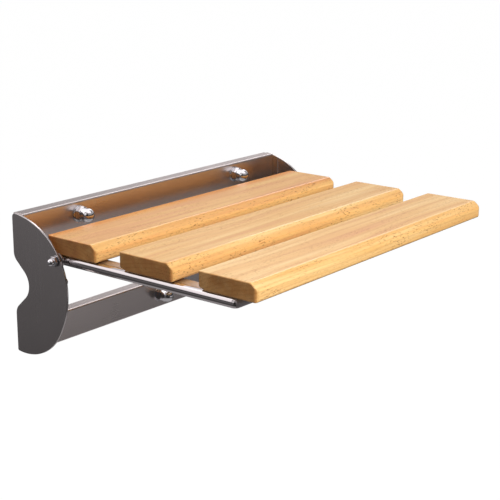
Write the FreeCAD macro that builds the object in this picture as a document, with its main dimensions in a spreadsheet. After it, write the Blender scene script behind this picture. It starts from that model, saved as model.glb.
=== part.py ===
import FreeCAD, Part
import math
import os

import Sketcher
from FreeCAD import Placement, Rotation, Vector

# A fold down wall seat. Two shaped side plates and two pressed rails make a bracket that three
# studs hold on a wall. A frame of round bar, with three wooden slats on it, turns in the plates.
#
# The frame of reference: X runs along the slats, the wall is the plane Y = 0, the seat stands out
# towards -Y, and Z is up. The origin is the middle of the bracket's top edge, at the wall.

doc = FreeCAD.newDocument("wall_seat")
sheet = doc.addObject("Spreadsheet::Sheet", "sizes")


class Size:
    """A length in millimetres that knows its value and the sheet expression that gives it."""

    def __init__(self, value, text):
        self.value = value
        self.text = text

    def __add__(self, other):
        return joined(self, "+", other)

    def __radd__(self, other):
        return joined(other, "+", self)

    def __sub__(self, other):
        return joined(self, "-", other)

    def __rsub__(self, other):
        return joined(other, "-", self)

    def __mul__(self, other):
        return joined(self, "*", other)

    def __rmul__(self, other):
        return joined(other, "*", self)

    def __truediv__(self, other):
        return joined(self, "/", other)

    def __neg__(self):
        return joined(0, "-", self)


def as_size(number):
    if isinstance(number, Size):
        return number
    return Size(float(number), repr(float(number)))


def joined(left, sign, right):
    left, right = as_size(left), as_size(right)
    value = {
        "+": left.value + right.value,
        "-": left.value - right.value,
        "*": left.value * right.value,
    }.get(sign)
    if value is None:
        value = left.value / right.value
    return Size(value, f"({left.text} {sign} {right.text})")


def root(part):
    return Size(math.sqrt(part.value), f"sqrt({part.text})")


def sine(angle):
    return Size(math.sin(math.radians(angle.value)), f"sin({angle.text} * 1 deg)")


def cosine(angle):
    return Size(math.cos(math.radians(angle.value)), f"cos({angle.text} * 1 deg)")


used_rows = []


def size(alias, value, meaning):
    """A driving dimension: one row of the sheet, with its meaning beside it."""
    used_rows.append(alias)
    row = len(used_rows)
    sheet.set(f"A{row}", meaning)
    sheet.set(f"B{row}", str(value))
    sheet.setAlias(f"B{row}", alias)
    return Size(float(value), f"sizes.{alias}")


# Slats: three planed boards across the seat
slat_length = size("slat_length", 450, "length of each slat")
slat_width = size("slat_width", 75, "front to back width of each slat")
slat_thick = size("slat_thick", 20, "thickness of each slat")
slat_pitch = size("slat_pitch", 109, "rear edge to rear edge of two slats")
slat_start = size("slat_start", 50, "wall to the rear slat's rear edge")
slat_drop = size("slat_drop", 18.5, "bracket's top edge down to the slats' top")
bevel_run = size("bevel_run", 9, "front bevel, measured along the top")
bevel_drop = size("bevel_drop", 7, "front bevel, measured down the front")
bevel_blend = size("bevel_blend", 5, "rounding where the bevel meets top and front")
belly_round = size("belly_round", 4, "rounding of the front bottom edge")
heel_run = size("heel_run", 9, "rear bevel under the slat, along the bottom")
heel_rise = size("heel_rise", 3, "rear bevel under the slat, up the back")
arris = size("arris", 1.5, "rounding of the slat ends")
plan_round = size("plan_round", 5, "front corners of a slat, rounded as seen from above")

# Side plates: their front edge is four arcs, their rear edge has a notch with S-shaped sides
bracket_width = size("bracket_width", 464, "outside width over the side plates")
plate_thick = size("plate_thick", 2.5, "side plate thickness")
plate_height = size("plate_height", 164, "side plate height")
crown = size("crown", 5, "rear top corner radius")
top_flat = size("top_flat", 6, "wall to where the front edge begins")
brow_depth = size("brow_depth", 50.7, "end of the first arc, out from the wall")
brow_drop = size("brow_drop", 16.1, "end of the first arc, down from the top")
brow_radius = size("brow_radius", 99, "first arc")
nose_depth = size("nose_depth", 84.9, "end of the second arc, out from the wall")
nose_drop = size("nose_drop", 80.9, "end of the second arc, down from the top")
nose_radius = size("nose_radius", 76.5, "second arc")
cheek_depth = size("cheek_depth", 74.7, "end of the third arc, out from the wall")
cheek_drop = size("cheek_drop", 121.9, "end of the third arc, down from the top")
cheek_radius = size("cheek_radius", 93, "third arc")
chin_depth = size("chin_depth", 12, "lowest point of the fourth arc, out from the wall")
chin_radius = size("chin_radius", 67.7, "fourth arc")
heel_radius = size("heel_radius", 2, "rear bottom corner radius")
heel_drop = size("heel_drop", 163.26, "end of the fourth arc, down from the top")
notch_middle = size("notch_middle", 81.5, "notch centre, down from the top")
notch_half = size("notch_half", 36.5, "half of the notch's height at the wall")
notch_lip = size("notch_lip", 13.6, "radius where the notch leaves the rear edge")
notch_root = size("notch_root", 21, "radius at the bottom of the notch")
notch_slope = size("notch_slope", 47, "slope of the notch's straight sides, in degrees")
notch_side = size("notch_side", 16.4, "length of each straight side")

# Rails: channels of pressed sheet, open to the wall
rail_depth = size("rail_depth", 16, "wall to the rails' front face")
rail_sheet = size("rail_sheet", 1.5, "thickness of the rails' sheet")
rail_bend = size("rail_bend", 2, "outside bend radius")
top_rail_height = size("top_rail_height", 42, "height of the top rail")
low_rail_top = size("low_rail_top", 128, "bracket's top edge down to the bottom rail")
low_rail_height = size("low_rail_height", 36, "height of the bottom rail")
tab_depth = size("tab_depth", 25, "wall to the front edge of the rails' end tabs")
tab_margin = size("tab_margin", 3.5, "rail's top and bottom edge to its end tabs")
tab_bend = size("tab_bend", 1.5, "inside bend radius of the end tabs")

# Wall fixings: stepped studs with washers and domed nuts
stud_spread = size("stud_spread", 144, "middle of the bracket to each top stud")
stud_drop = size("stud_drop", 15, "bracket's top edge down to the top studs")
low_stud_shift = size("low_stud_shift", 8, "bottom stud, left of the middle")
stud_radius = size("stud_radius", 5, "radius of the stud in front of the wall")
stud_hole = size("stud_hole", 5.5, "radius of the rails' stud holes")
wall_end = size("wall_end", 18, "stud's length behind the wall plane")
wall_end_radius = size("wall_end_radius", 4, "radius of the stud behind the wall plane")
washer_radius = size("washer_radius", 10, "washer's outside radius")
washer_thick = size("washer_thick", 1.5, "washer thickness")
nut_flats = size("nut_flats", 17, "domed nut across flats")
nut_hex = size("nut_hex", 8, "height of the nut's hexagon")
nut_height = size("nut_height", 20.7, "height of the nut with its dome")
dome_radius = size("dome_radius", 8.2, "radius of the nut's dome")
nut_bore = size("nut_bore", 15, "depth of the nut's thread")

# Seat frame: round bar, mitred and welded at the front corners, with flat strips under the slats
bar_radius = size("bar_radius", 6, "radius of the frame bar")
arm_spread = size("arm_spread", 220.2, "middle of the seat to each arm")
arm_start = size("arm_start", 57, "wall to the arms' rear ends")
front_bar_depth = size("front_bar_depth", 312, "wall to the front bar")
blunting = size("blunting", 4, "metal ground off each side of a mitred corner")
strip_width = size("strip_width", 10, "width of the slat strips")
strip_thick = size("strip_thick", 3, "thickness of the slat strips")
strip_inner = size("strip_inner", 205, "middle of the seat to the strips' inner edge")
strip_start = size("strip_start", 75, "wall to the strips' rear ends")
screw_spread = size("screw_spread", 209.5, "middle of the seat to each line of screws")
rear_screw = size("rear_screw", 82, "wall to the rear slat's first pair of screws")
middle_screw = size("middle_screw", 182, "wall to the middle slat's first pair of screws")
front_screw = size("front_screw", 280, "wall to the front slat's first pair of screws")
rear_screw_step = size("rear_screw_step", 29, "first to second pair, rear and middle slats")
front_screw_step = size("front_screw_step", 17, "first to second pair, front slat")
screw_radius = size("screw_radius", 2, "slat screw's shank")
screw_reach = size("screw_reach", 14, "screw's length inside the slat")
screw_head = size("screw_head", 3.9, "slat screw's head radius")
screw_head_height = size("screw_head_height", 2.4, "slat screw's head height")
screw_head_round = size("screw_head_round", 1.2, "rounding of the slat screw's head")
screw_point = size("screw_point", 1.5, "length of the slat screw's point")

# Pivots: shoulder screws that turn in plastic bushes, and the stops beside them
pivot_depth = size("pivot_depth", 67.3, "wall to the pivot axis")
shoulder_radius = size("shoulder_radius", 3.5, "shoulder of the pivot screw")
running_gap = size("running_gap", 0.05, "radial clearance of the shoulder in its bush")
bush_radius = size("bush_radius", 4.5, "bush outside radius, and its hole in the plate")
bush_flange = size("bush_flange", 5.4, "radius of the bush's flange")
flange_thick = size("flange_thick", 0.6, "thickness of the bush's flange and the thrust ring")
side_play = size("side_play", 0.2, "end play of the pivot, each side of the plate")
ring_radius = size("ring_radius", 8, "outside radius of the thrust ring")
head_flats = size("head_flats", 11, "pivot screw's hexagon across flats")
head_hex = size("head_hex", 3, "height of the pivot screw's hexagon")
head_height = size("head_height", 9, "height of the pivot screw's head with its dome")
head_dome = size("head_dome", 4.2, "radius of the pivot screw's dome")
thread_radius = size("thread_radius", 3, "pivot screw's thread")
pivot_nut_flats = size("pivot_nut_flats", 10, "pivot nut across flats")
pivot_nut_height = size("pivot_nut_height", 5, "pivot nut height")
thread_proud = size("thread_proud", 1, "thread that shows past the pivot nut")
cam_thick = size("cam_thick", 2.5, "thickness of the stop cam")
cam_radius = size("cam_radius", 9, "round end of the stop cam")
tail_reach = size("tail_reach", 27, "pivot axis to the end of the cam's tail")
tail_half = size("tail_half", 6, "half of the tail's height")
tail_corner = size("tail_corner", 3, "corner radius of the tail")
stop_radius = size("stop_radius", 4, "radius of the stop studs")
stop_gap = size("stop_gap", 0.3, "space between the tail and a stop at rest")
rest_stop_reach = size("rest_stop_reach", 23, "pivot axis back to the rest stop")
fold_stop_reach = size("fold_stop_reach", 22, "pivot axis down to the fold stop")
stop_length = size("stop_length", 3.1, "length of the stop studs")
stop_break = size("stop_break", 0.5, "chamfer on the stop studs")
edge_break = size("edge_break", 1, "chamfer on studs, and overlap where one shape trims another")

doc.recompute()

SIDES = {"left": -1, "right": 1}
plate_inner = bracket_width / 2 - plate_thick
slat_bottom = slat_drop + slat_thick
arm_drop = slat_bottom + bar_radius
low_stud_drop = low_rail_top + low_rail_height / 2
cam_outer = plate_inner - flange_thick - side_play
nodes = []


def new_body(label):
    """An empty body whose label becomes the name of its file."""
    body = doc.addObject("PartDesign::Body", label)
    body.Label = label
    nodes.append(body)
    return body


def place(item, across=0, depth=0, drop=0, turn=None):
    """Put a piece at X = across, depth in front of the wall and drop below the top edge."""
    spot = {"x": as_size(across), "y": -as_size(depth), "z": -as_size(drop)}
    rotation = turn if turn is not None else Rotation()
    item.Placement = Placement(Vector(*[part.value for part in spot.values()]), rotation)
    for axis, part in spot.items():
        item.setExpression(f"Placement.Base.{axis}", part.text)


# Local +Z of a turned piece points out of the wall, or inwards through a side plate
OUT_OF_WALL = Rotation(Vector(1, 0, 0), 90)
INWARDS = {"left": Rotation(Vector(0, 1, 0), 90), "right": Rotation(Vector(0, 1, 0), -90)}


def new_sketch(body, plane, lift=None):
    """A sketch on one of the body's own origin planes, moved along its normal by lift."""
    sketch = body.newObject("Sketcher::SketchObject", f"{body.Label}_sketch")
    base = [f for f in body.Origin.OriginFeatures if f.Role == plane][0]
    sketch.AttachmentSupport = [(base, "")]
    sketch.MapMode = "FlatFace"
    if lift is not None:
        sketch.AttachmentOffset = Placement(Vector(0, 0, lift.value), Rotation())
        sketch.setExpression("AttachmentOffset.Base.z", lift.text)
    return sketch


def bind(sketch, index, part):
    sketch.setExpression(f"Constraints[{index}]", part.text)


def pin_point(sketch, geometry, end, spot):
    """Fix one end of a line or arc at a spot given as two sizes."""
    for kind, part in zip(("DistanceX", "DistanceY"), spot):
        index = sketch.addConstraint(Sketcher.Constraint(kind, -1, 1, geometry, end, part.value))
        bind(sketch, index, part)


def arc_between(start, end, radius, turn):
    """The shorter arc from start to end, turning left (1) or right (-1) on the way."""
    chord = end - start
    middle = (start + end) * 0.5
    side = Vector(-chord.y, chord.x, 0).normalize() * turn
    centre = middle + side * math.sqrt(radius**2 - (chord.Length / 2) ** 2)
    top = centre + (middle - centre).normalize() * radius
    return Part.Arc(start, top, end)


def draw_outline(sketch, points, arcs=None):
    """A closed outline. arcs gives a radius and a turn to the sides that aren't straight."""
    arcs = arcs or {}
    spots = [(as_size(u), as_size(v)) for u, v in points]
    corners = [Vector(u.value, v.value, 0) for u, v in spots]
    ends = []
    for number, corner in enumerate(corners):
        following = corners[(number + 1) % len(corners)]
        if number in arcs:
            radius, turn = arcs[number]
            shape = arc_between(corner, following, radius.value, turn)
        else:
            shape = Part.LineSegment(corner, following)
        geometry = sketch.addGeometry(shape, False)
        begins = (sketch.getPoint(geometry, 1) - corner).Length < 1e-6
        ends.append((geometry, 1, 2) if begins else (geometry, 2, 1))
        if number in arcs:
            index = sketch.addConstraint(Sketcher.Constraint("Radius", geometry, radius.value))
            bind(sketch, index, radius)
    for number, (geometry, first, last) in enumerate(ends):
        after = ends[(number + 1) % len(ends)]
        sketch.addConstraint(Sketcher.Constraint("Coincident", geometry, last, after[0], after[1]))
        pin_point(sketch, geometry, first, spots[number])


def draw_circle(sketch, across, along, radius):
    across, along = as_size(across), as_size(along)
    circle = Part.Circle(Vector(across.value, along.value, 0), Vector(0, 0, 1), radius.value)
    geometry = sketch.addGeometry(circle, False)
    index = sketch.addConstraint(Sketcher.Constraint("Radius", geometry, radius.value))
    bind(sketch, index, radius)
    pin_point(sketch, geometry, 3, (across, along))


def draw_hexagon(sketch, flats):
    """A hexagon on the origin with two flats level with the sketch's X axis."""
    edge = flats / math.sqrt(3)
    corner, half = edge / 2, flats / 2
    points = [(edge, 0), (corner, half), (-corner, half), (-edge, 0), (-corner, -half)]
    draw_outline(sketch, points + [(corner, -half)])


def pad(body, sketch, length, both_ways=False):
    feature = body.newObject("PartDesign::Pad", f"{body.Label}_pad")
    feature.Profile = sketch
    feature.Length = length.value
    feature.setExpression("Length", length.text)
    if both_ways:
        feature.SideType = "Symmetric"
    sketch.Visibility = False
    doc.recompute()
    return feature


def cut(body, sketch, length=None, reverse=False):
    """A pocket, through everything both ways unless it has a length."""
    before = body.Shape.Volume
    feature = body.newObject("PartDesign::Pocket", f"{body.Label}_cut")
    feature.Profile = sketch
    if length is None:
        feature.Type = "ThroughAll"
        feature.SideType = "Symmetric"
    else:
        feature.Length = length.value
        feature.setExpression("Length", length.text)
        feature.Reversed = reverse
    doc.recompute()
    if body.Shape.Volume > before - 1e-3:
        raise RuntimeError(f"{feature.Label} cut nothing")
    return feature


def turn_profile(body, sketch, kind="PartDesign::Revolution"):
    """Spin a profile drawn on the XZ plane about the body's own Z axis."""
    feature = body.newObject(kind, f"{body.Label}_turned")
    feature.Profile = sketch
    feature.ReferenceAxis = (sketch, ["V_Axis"])
    feature.Angle = 360
    doc.recompute()
    return feature


def turned(label, profile, arcs=None):
    """A round piece from its half section: pairs of radius and height."""
    body = new_body(label)
    sketch = new_sketch(body, "XZ_Plane")
    draw_outline(sketch, profile, arcs)
    turn_profile(body, sketch)
    return body


def ring(label, inner, outer, height):
    return turned(label, [(inner, 0), (outer, 0), (outer, height), (inner, height)])


def fillet(body, wanted, radius):
    """Round the edges of the body whose middle point passes the test."""
    base = body.Tip
    names = []
    for number, edge in enumerate(base.Shape.Edges, start=1):
        first, last = edge.ParameterRange
        if wanted(edge.valueAt((first + last) / 2)):
            names.append(f"Edge{number}")
    feature = body.newObject("PartDesign::Fillet", f"{body.Label}_fillet")
    feature.Base = (base, names)
    feature.Radius = radius.value
    feature.setExpression("Radius", radius.text)
    doc.recompute()


def lies_at(along, up):
    """A test for an edge that runs across the seat at this Y and Z of its body."""
    spot = Vector(0, as_size(along).value, as_size(up).value)
    return lambda point: (point - spot).Length < 1e-3


# Bracket


def notch_points():
    """The notch from top to bottom: lip, straight side, root, straight side, lip."""
    lip_in = notch_lip * (1 - cosine(notch_slope))
    side_in = lip_in + notch_side * sine(notch_slope)
    lip_out = notch_half - notch_lip * sine(notch_slope)
    root_half = notch_root * sine(notch_slope)
    top, bottom = -(notch_middle - notch_half), -(notch_middle + notch_half)
    return [
        (0, bottom),
        (-lip_in, -(notch_middle + lip_out)),
        (-side_in, -(notch_middle + root_half)),
        (-side_in, -(notch_middle - root_half)),
        (-lip_in, -(notch_middle - lip_out)),
        (0, top),
    ]


def make_side_plate(side):
    plate = new_body(f"{side}_side_plate")
    sketch = new_sketch(plate, "YZ_Plane")
    front = [
        (0, -crown),
        (-crown, 0),
        (-top_flat, 0),
        (-brow_depth, -brow_drop),
        (-nose_depth, -nose_drop),
        (-cheek_depth, -cheek_drop),
        (-chin_depth, -plate_height),
        (-heel_radius, -heel_drop),
        (0, heel_radius - heel_drop),
    ]
    arcs = {
        0: (crown, 1),
        2: (brow_radius, 1),
        3: (nose_radius, 1),
        4: (cheek_radius, 1),
        5: (chin_radius, 1),
        6: (chin_radius, 1),
        7: (heel_radius, 1),
        9: (notch_lip, 1),
        11: (notch_root, -1),
        13: (notch_lip, 1),
    }
    draw_outline(sketch, front + notch_points(), arcs)
    draw_circle(sketch, -pivot_depth, -arm_drop, bush_radius)
    pad(plate, sketch, plate_thick)
    inner = plate_inner if side == "right" else -(bracket_width / 2)
    place(plate, across=inner)


def make_rail(label, top, height, holes):
    """A channel open to the wall, with two end tabs and a hole for each stud at (across, drop)."""
    rail = new_body(label)
    profile = new_sketch(rail, "YZ_Plane")
    inner = rail_bend - rail_sheet
    floor = height - rail_sheet
    outside = [
        (0, 0),
        (rail_bend - rail_depth, 0),
        (-rail_depth, -rail_bend),
        (-rail_depth, rail_bend - height),
        (rail_bend - rail_depth, -height),
        (0, -height),
    ]
    inside = [
        (0, -floor),
        (rail_bend - rail_depth, -floor),
        (rail_sheet - rail_depth, inner - floor),
        (rail_sheet - rail_depth, -(rail_sheet + inner)),
        (rail_bend - rail_depth, -rail_sheet),
        (0, -rail_sheet),
    ]
    arcs = {1: (rail_bend, 1), 3: (rail_bend, 1), 7: (inner, -1), 9: (inner, -1)}
    draw_outline(profile, outside + inside, arcs)
    pad(rail, profile, plate_inner * 2, both_ways=True)
    tabs = new_sketch(rail, "XY_Plane", tab_margin - height)
    for sign in SIDES.values():
        face = (plate_inner - rail_sheet) * sign
        bend = (plate_inner - rail_sheet - tab_bend) * sign
        outline = [
            (plate_inner * sign, rail_sheet - rail_depth),
            (plate_inner * sign, -tab_depth),
            (face, -tab_depth),
            (face, -(rail_depth + tab_bend)),
            (bend, -rail_depth),
            (bend, rail_sheet - rail_depth),
        ]
        draw_outline(tabs, outline, {3: (tab_bend, sign)})
    pad(rail, tabs, height - tab_margin * 2)
    drilling = new_sketch(rail, "XZ_Plane")
    for across, drop in holes:
        draw_circle(drilling, across, top - drop, stud_hole)
    cut(rail, drilling)
    place(rail, drop=top)


def make_wall_fixing(name, across, drop):
    """A stepped stud, a flat washer and a domed nut on the front face of a rail."""
    reach = rail_depth + washer_thick + nut_bore - edge_break
    stud = turned(
        f"{name}_wall_stud",
        [
            (0, reach),
            (0, -wall_end),
            (wall_end_radius - edge_break, -wall_end),
            (wall_end_radius, edge_break - wall_end),
            (wall_end_radius, 0),
            (stud_radius, 0),
            (stud_radius, reach - edge_break),
            (stud_radius - edge_break, reach),
        ],
    )
    place(stud, across, 0, drop, OUT_OF_WALL)
    washer = ring(f"{name}_wall_washer", stud_hole, washer_radius, washer_thick)
    place(washer, across, rail_depth, drop, OUT_OF_WALL)
    make_domed_nut(f"{name}_domed_nut")
    place(nodes[-1], across, rail_depth + washer_thick, drop, OUT_OF_WALL)


def corner_shave(flats, level, way):
    """A triangle that, spun, takes the corners off a hexagon's end; way is 1 for its top."""
    corner = flats / math.sqrt(3) + edge_break
    slope = (corner - flats / 2) * math.tan(math.radians(30))
    return [(flats / 2, level), (corner, level - slope * way), (corner, level)]


def make_domed_nut(label):
    nut = new_body(label)
    hexagon = new_sketch(nut, "XY_Plane")
    draw_hexagon(hexagon, nut_flats)
    pad(nut, hexagon, nut_hex)
    dome = new_sketch(nut, "XZ_Plane")
    shoulder = nut_height - dome_radius
    root_level = nut_hex - edge_break
    profile = [(0, root_level), (dome_radius, root_level), (dome_radius, shoulder), (0, nut_height)]
    draw_outline(dome, profile, {2: (dome_radius, 1)})
    turn_profile(nut, dome)
    trim = new_sketch(nut, "XZ_Plane")
    draw_outline(trim, [(0, 0), (stud_radius, 0), (stud_radius, nut_bore), (0, nut_bore)])
    draw_outline(trim, corner_shave(nut_flats, nut_hex, 1))
    turn_profile(nut, trim, "PartDesign::Groove")


# Pivots and stops


def make_pivot(side):
    """Everything on the pivot axis: bush, thrust ring, shoulder screw, cam and nut."""
    sign = SIDES[side]
    outer = bracket_width / 2
    bush = turned(
        f"{side}_pivot_bush",
        [
            (shoulder_radius + running_gap, -flange_thick),
            (bush_flange, -flange_thick),
            (bush_flange, 0),
            (bush_radius, 0),
            (bush_radius, plate_thick),
            (shoulder_radius + running_gap, plate_thick),
        ],
    )
    place(bush, outer * sign, pivot_depth, arm_drop, INWARDS[side])
    thrust = ring(f"{side}_thrust_ring", shoulder_radius + side_play, ring_radius, flange_thick)
    place(thrust, plate_inner * sign, pivot_depth, arm_drop, INWARDS[side])
    make_pivot_screw(side)
    place(nodes[-1], (outer + flange_thick + side_play) * sign, pivot_depth, arm_drop, INWARDS[side])
    nut = new_body(f"{side}_pivot_nut")
    outline = new_sketch(nut, "XY_Plane")
    draw_hexagon(outline, pivot_nut_flats)
    draw_circle(outline, 0, 0, thread_radius)
    pad(nut, outline, pivot_nut_height)
    quarter = INWARDS[side].multiply(Rotation(Vector(0, 0, 1), 90))
    place(nut, (arm_spread - bar_radius) * sign, pivot_depth, arm_drop, quarter)


def make_pivot_screw(side):
    """A shoulder screw with a low hexagon and a dome as its head; local Z = 0 is under the head."""
    shoulder = flange_thick * 2 + side_play * 2 + plate_thick
    thread_end = (
        bracket_width / 2 + flange_thick + side_play - arm_spread + bar_radius
        + pivot_nut_height + thread_proud
    )
    screw = new_body(f"{side}_pivot_screw")
    hexagon = new_sketch(screw, "XY_Plane", -head_hex)
    draw_hexagon(hexagon, head_flats)
    pad(screw, hexagon, head_hex)
    section = new_sketch(screw, "XZ_Plane")
    profile = [
        (0, -head_height),
        (head_dome, head_dome - head_height),
        (head_dome, -edge_break),
        (shoulder_radius, -edge_break),
        (shoulder_radius, shoulder),
        (thread_radius, shoulder),
        (thread_radius, thread_end),
        (0, thread_end),
    ]
    draw_outline(section, profile, {0: (head_dome, 1)})
    turn_profile(screw, section)
    trim = new_sketch(screw, "XZ_Plane")
    draw_outline(trim, corner_shave(head_flats, -head_hex, -1))
    turn_profile(screw, trim, "PartDesign::Groove")


def make_stop_cam(side):
    """A disc round the pivot with a tail to the rear, welded to the outside of the arm."""
    cam = new_body(f"{side}_stop_cam")
    sketch = new_sketch(cam, "YZ_Plane")
    join = root(cam_radius * cam_radius - tail_half * tail_half)
    points = [
        (join, tail_half),
        (-join, tail_half),
        (-join, -tail_half),
        (join, -tail_half),
        (tail_reach - tail_corner, -tail_half),
        (tail_reach, tail_corner - tail_half),
        (tail_reach, tail_half - tail_corner),
        (tail_reach - tail_corner, tail_half),
    ]
    arcs = {corner: (cam_radius, 1) for corner in (0, 1, 2)}
    arcs.update({corner: (tail_corner, 1) for corner in (4, 6)})
    draw_outline(sketch, points, arcs)
    draw_circle(sketch, 0, 0, thread_radius)
    pad(cam, sketch, cam_thick)
    face = -cam_outer if side == "left" else cam_outer - cam_thick
    place(cam, face, pivot_depth, arm_drop)


def make_stops(side):
    """Two studs inside the plate: the cam's tail meets one when down and one when folded."""
    off_tail = tail_half + stop_gap + stop_radius
    spots = {
        "rest": (pivot_depth - rest_stop_reach, arm_drop - off_tail),
        "fold": (pivot_depth + off_tail, arm_drop + fold_stop_reach),
    }
    for name, (depth, drop) in spots.items():
        rounded = [(0, 0), (stop_radius, 0), (stop_radius, stop_length - stop_break)]
        rounded += [(stop_radius - stop_break, stop_length), (0, stop_length)]
        stop = turned(f"{side}_{name}_stop", rounded)
        place(stop, plate_inner * SIDES[side], depth, drop, INWARDS[side])


# Seat


def make_arm(side):
    """A round bar from just behind the pivot to the blunted mitre at the front corner."""
    sign = SIDES[side]
    length = front_bar_depth + bar_radius - arm_start
    arm = new_body(f"{side}_arm")
    section = new_sketch(arm, "XZ_Plane")
    draw_circle(section, 0, 0, bar_radius)
    pad(arm, section, length)
    mitre = new_sketch(arm, "XY_Plane")
    wide = bar_radius + edge_break
    far = -(length + edge_break)
    cut_away = [
        (wide * sign, blunting + edge_break - length),
        ((bar_radius - blunting / 2) * sign, blunting / 2 - length),
        (-(wide * sign), bar_radius * 2 + edge_break - length),
        (-(wide * sign), far),
        (wide * sign, far),
    ]
    draw_outline(mitre, cut_away)
    cut(arm, mitre)
    drilling = new_sketch(arm, "YZ_Plane")
    draw_circle(drilling, arm_start - pivot_depth, 0, thread_radius)
    cut(arm, drilling)
    place(arm, arm_spread * sign, arm_start, arm_drop)


def make_front_bar():
    bar = new_body("front_cross_bar")
    section = new_sketch(bar, "YZ_Plane")
    draw_circle(section, 0, 0, bar_radius)
    pad(bar, section, (arm_spread + bar_radius) * 2, both_ways=True)
    mitre = new_sketch(bar, "XY_Plane")
    wide = bar_radius + edge_break
    for sign in SIDES.values():
        cut_away = [
            ((arm_spread + bar_radius - blunting - edge_break) * sign, -wide),
            ((arm_spread + bar_radius - blunting / 2) * sign, blunting / 2 - bar_radius),
            ((arm_spread - wide) * sign, wide),
            ((arm_spread + wide) * sign, wide),
            ((arm_spread + wide) * sign, -wide),
        ]
        draw_outline(mitre, cut_away)
    cut(bar, mitre)
    place(bar, 0, front_bar_depth, arm_drop)


# Each slat, rear to front, with its screws' distances from the wall
SLATS = {
    "rear": (rear_screw, rear_screw + rear_screw_step),
    "middle": (middle_screw, middle_screw + rear_screw_step),
    "front": (front_screw, front_screw + front_screw_step),
}


def make_strip(side):
    """A flat bar under the slats, hollowed along one edge to sit against the arm."""
    sign = SIDES[side]
    strip = new_body(f"{side}_slat_strip")
    section = new_sketch(strip, "XZ_Plane")
    inner, outer = strip_inner * sign, (strip_inner + strip_width + edge_break) * sign
    low = -strip_thick
    draw_outline(section, [(inner, 0), (outer, 0), (outer, low), (inner, low)])
    pad(strip, section, front_bar_depth - bar_radius - strip_start)
    cope = new_sketch(strip, "XZ_Plane")
    draw_circle(cope, arm_spread * sign, -bar_radius, bar_radius)
    cut(strip, cope)
    drilling = new_sketch(strip, "XY_Plane")
    for depths in SLATS.values():
        for depth in depths:
            draw_circle(drilling, screw_spread * sign, strip_start - depth, screw_radius)
    cut(strip, drilling)
    place(strip, 0, strip_start, slat_bottom)


def make_slat(name, start):
    """A board with a bevelled front, rounded front corners and four blind screw holes below."""
    slat = new_body(f"{name}_slat")
    section = new_sketch(slat, "YZ_Plane")
    outline = [
        (0, 0),
        (bevel_run - slat_width, 0),
        (-slat_width, -bevel_drop),
        (-slat_width, -slat_thick),
        (-heel_run, -slat_thick),
        (0, heel_rise - slat_thick),
    ]
    draw_outline(section, outline)
    pad(slat, section, slat_length, both_ways=True)
    for along, up in outline[1:3]:
        fillet(slat, lies_at(along, up), bevel_blend)
    fillet(slat, lies_at(*outline[3]), belly_round)
    end = slat_length.value / 2
    fillet(slat, lambda point: abs(abs(point.x) - end) < 1e-3, arris)
    corners = new_sketch(slat, "XY_Plane")
    for sign in SIDES.values():
        beyond = (slat_length / 2 + edge_break) * sign
        outline = [
            (slat_length / 2 * sign, plan_round - slat_width),
            ((slat_length / 2 - plan_round) * sign, -slat_width),
            ((slat_length / 2 - plan_round) * sign, -(slat_width + edge_break)),
            (beyond, -(slat_width + edge_break)),
            (beyond, plan_round - slat_width),
        ]
        draw_outline(corners, outline, {0: (plan_round, -sign)})
    cut(slat, corners)
    drilling = new_sketch(slat, "XY_Plane", -slat_thick)
    for sign in SIDES.values():
        for depth in SLATS[name]:
            draw_circle(drilling, screw_spread * sign, start - depth, screw_radius)
    cut(slat, drilling, screw_reach, reverse=True)
    place(slat, 0, start, slat_drop)


def make_screw_groups():
    """One screw drawn once, then linked four times under each slat."""
    under = strip_thick + screw_head_height
    screw = turned(
        "slat_screw",
        [
            (0, 0),
            (screw_head - screw_head_round, 0),
            (screw_head, screw_head_round),
            (screw_head, screw_head_height),
            (screw_radius, screw_head_height),
            (screw_radius, under + screw_reach - screw_point),
            (0, under + screw_reach),
        ],
        {1: (screw_head_round, 1)},
    )
    nodes.remove(screw)
    for name, depths in SLATS.items():
        links = []
        for depth in depths:
            for sign in SIDES.values():
                link = doc.addObject("App::Link", f"{name}_screw")
                link.LinkedObject = screw
                place(link, screw_spread * sign, depth, slat_bottom + under)
                links.append(link)
        group = doc.addObject("Part::Compound", f"{name}_slat_screws")
        group.Label = f"{name}_slat_screws"
        group.Links = links
        nodes.append(group)


for side in SIDES:
    make_side_plate(side)
    make_pivot(side)
    make_stop_cam(side)
    make_stops(side)
    make_arm(side)
    make_strip(side)

top_holes = [(stud_spread * sign, stud_drop) for sign in SIDES.values()]
make_rail("top_rail", as_size(0), top_rail_height, top_holes)
make_rail("bottom_rail", low_rail_top, low_rail_height, [(-low_stud_shift, low_stud_drop)])
make_wall_fixing("left", -stud_spread, stud_drop)
make_wall_fixing("right", stud_spread, stud_drop)
make_wall_fixing("bottom", -low_stud_shift, low_stud_drop)
make_front_bar()
for number, name in enumerate(SLATS):
    make_slat(name, slat_start + slat_pitch * number)
make_screw_groups()

# Check and export

doc.recompute()
for item in doc.Objects:
    if {"Invalid", "Error"} & set(item.State):
        raise RuntimeError(f"{item.Label} failed: {item.State}")
for node in nodes:
    if node.Shape.isNull() or not node.Shape.isValid():
        raise RuntimeError(f"{node.Label} has no valid shape")

os.makedirs("parts", exist_ok=True)
for node in nodes:
    node.Shape.exportStep(f"parts/{node.Label}.step")
    print(f"{node.Label}: {len(node.Shape.Solids)} solids, {node.Shape.Volume:.0f} mm3")
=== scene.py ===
# %% [markdown]
# # A fold down wall seat
#
# Three wooden slats sit on a frame of round bar. The frame turns between two steel side plates,
# which two pressed rails tie together, and three studs with domed nuts hold all of it on a wall.
# This lesson dresses the plain solids of that seat: each piece gets its real edges, its small
# parts and its finish, and stays exactly where the solids say.

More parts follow.
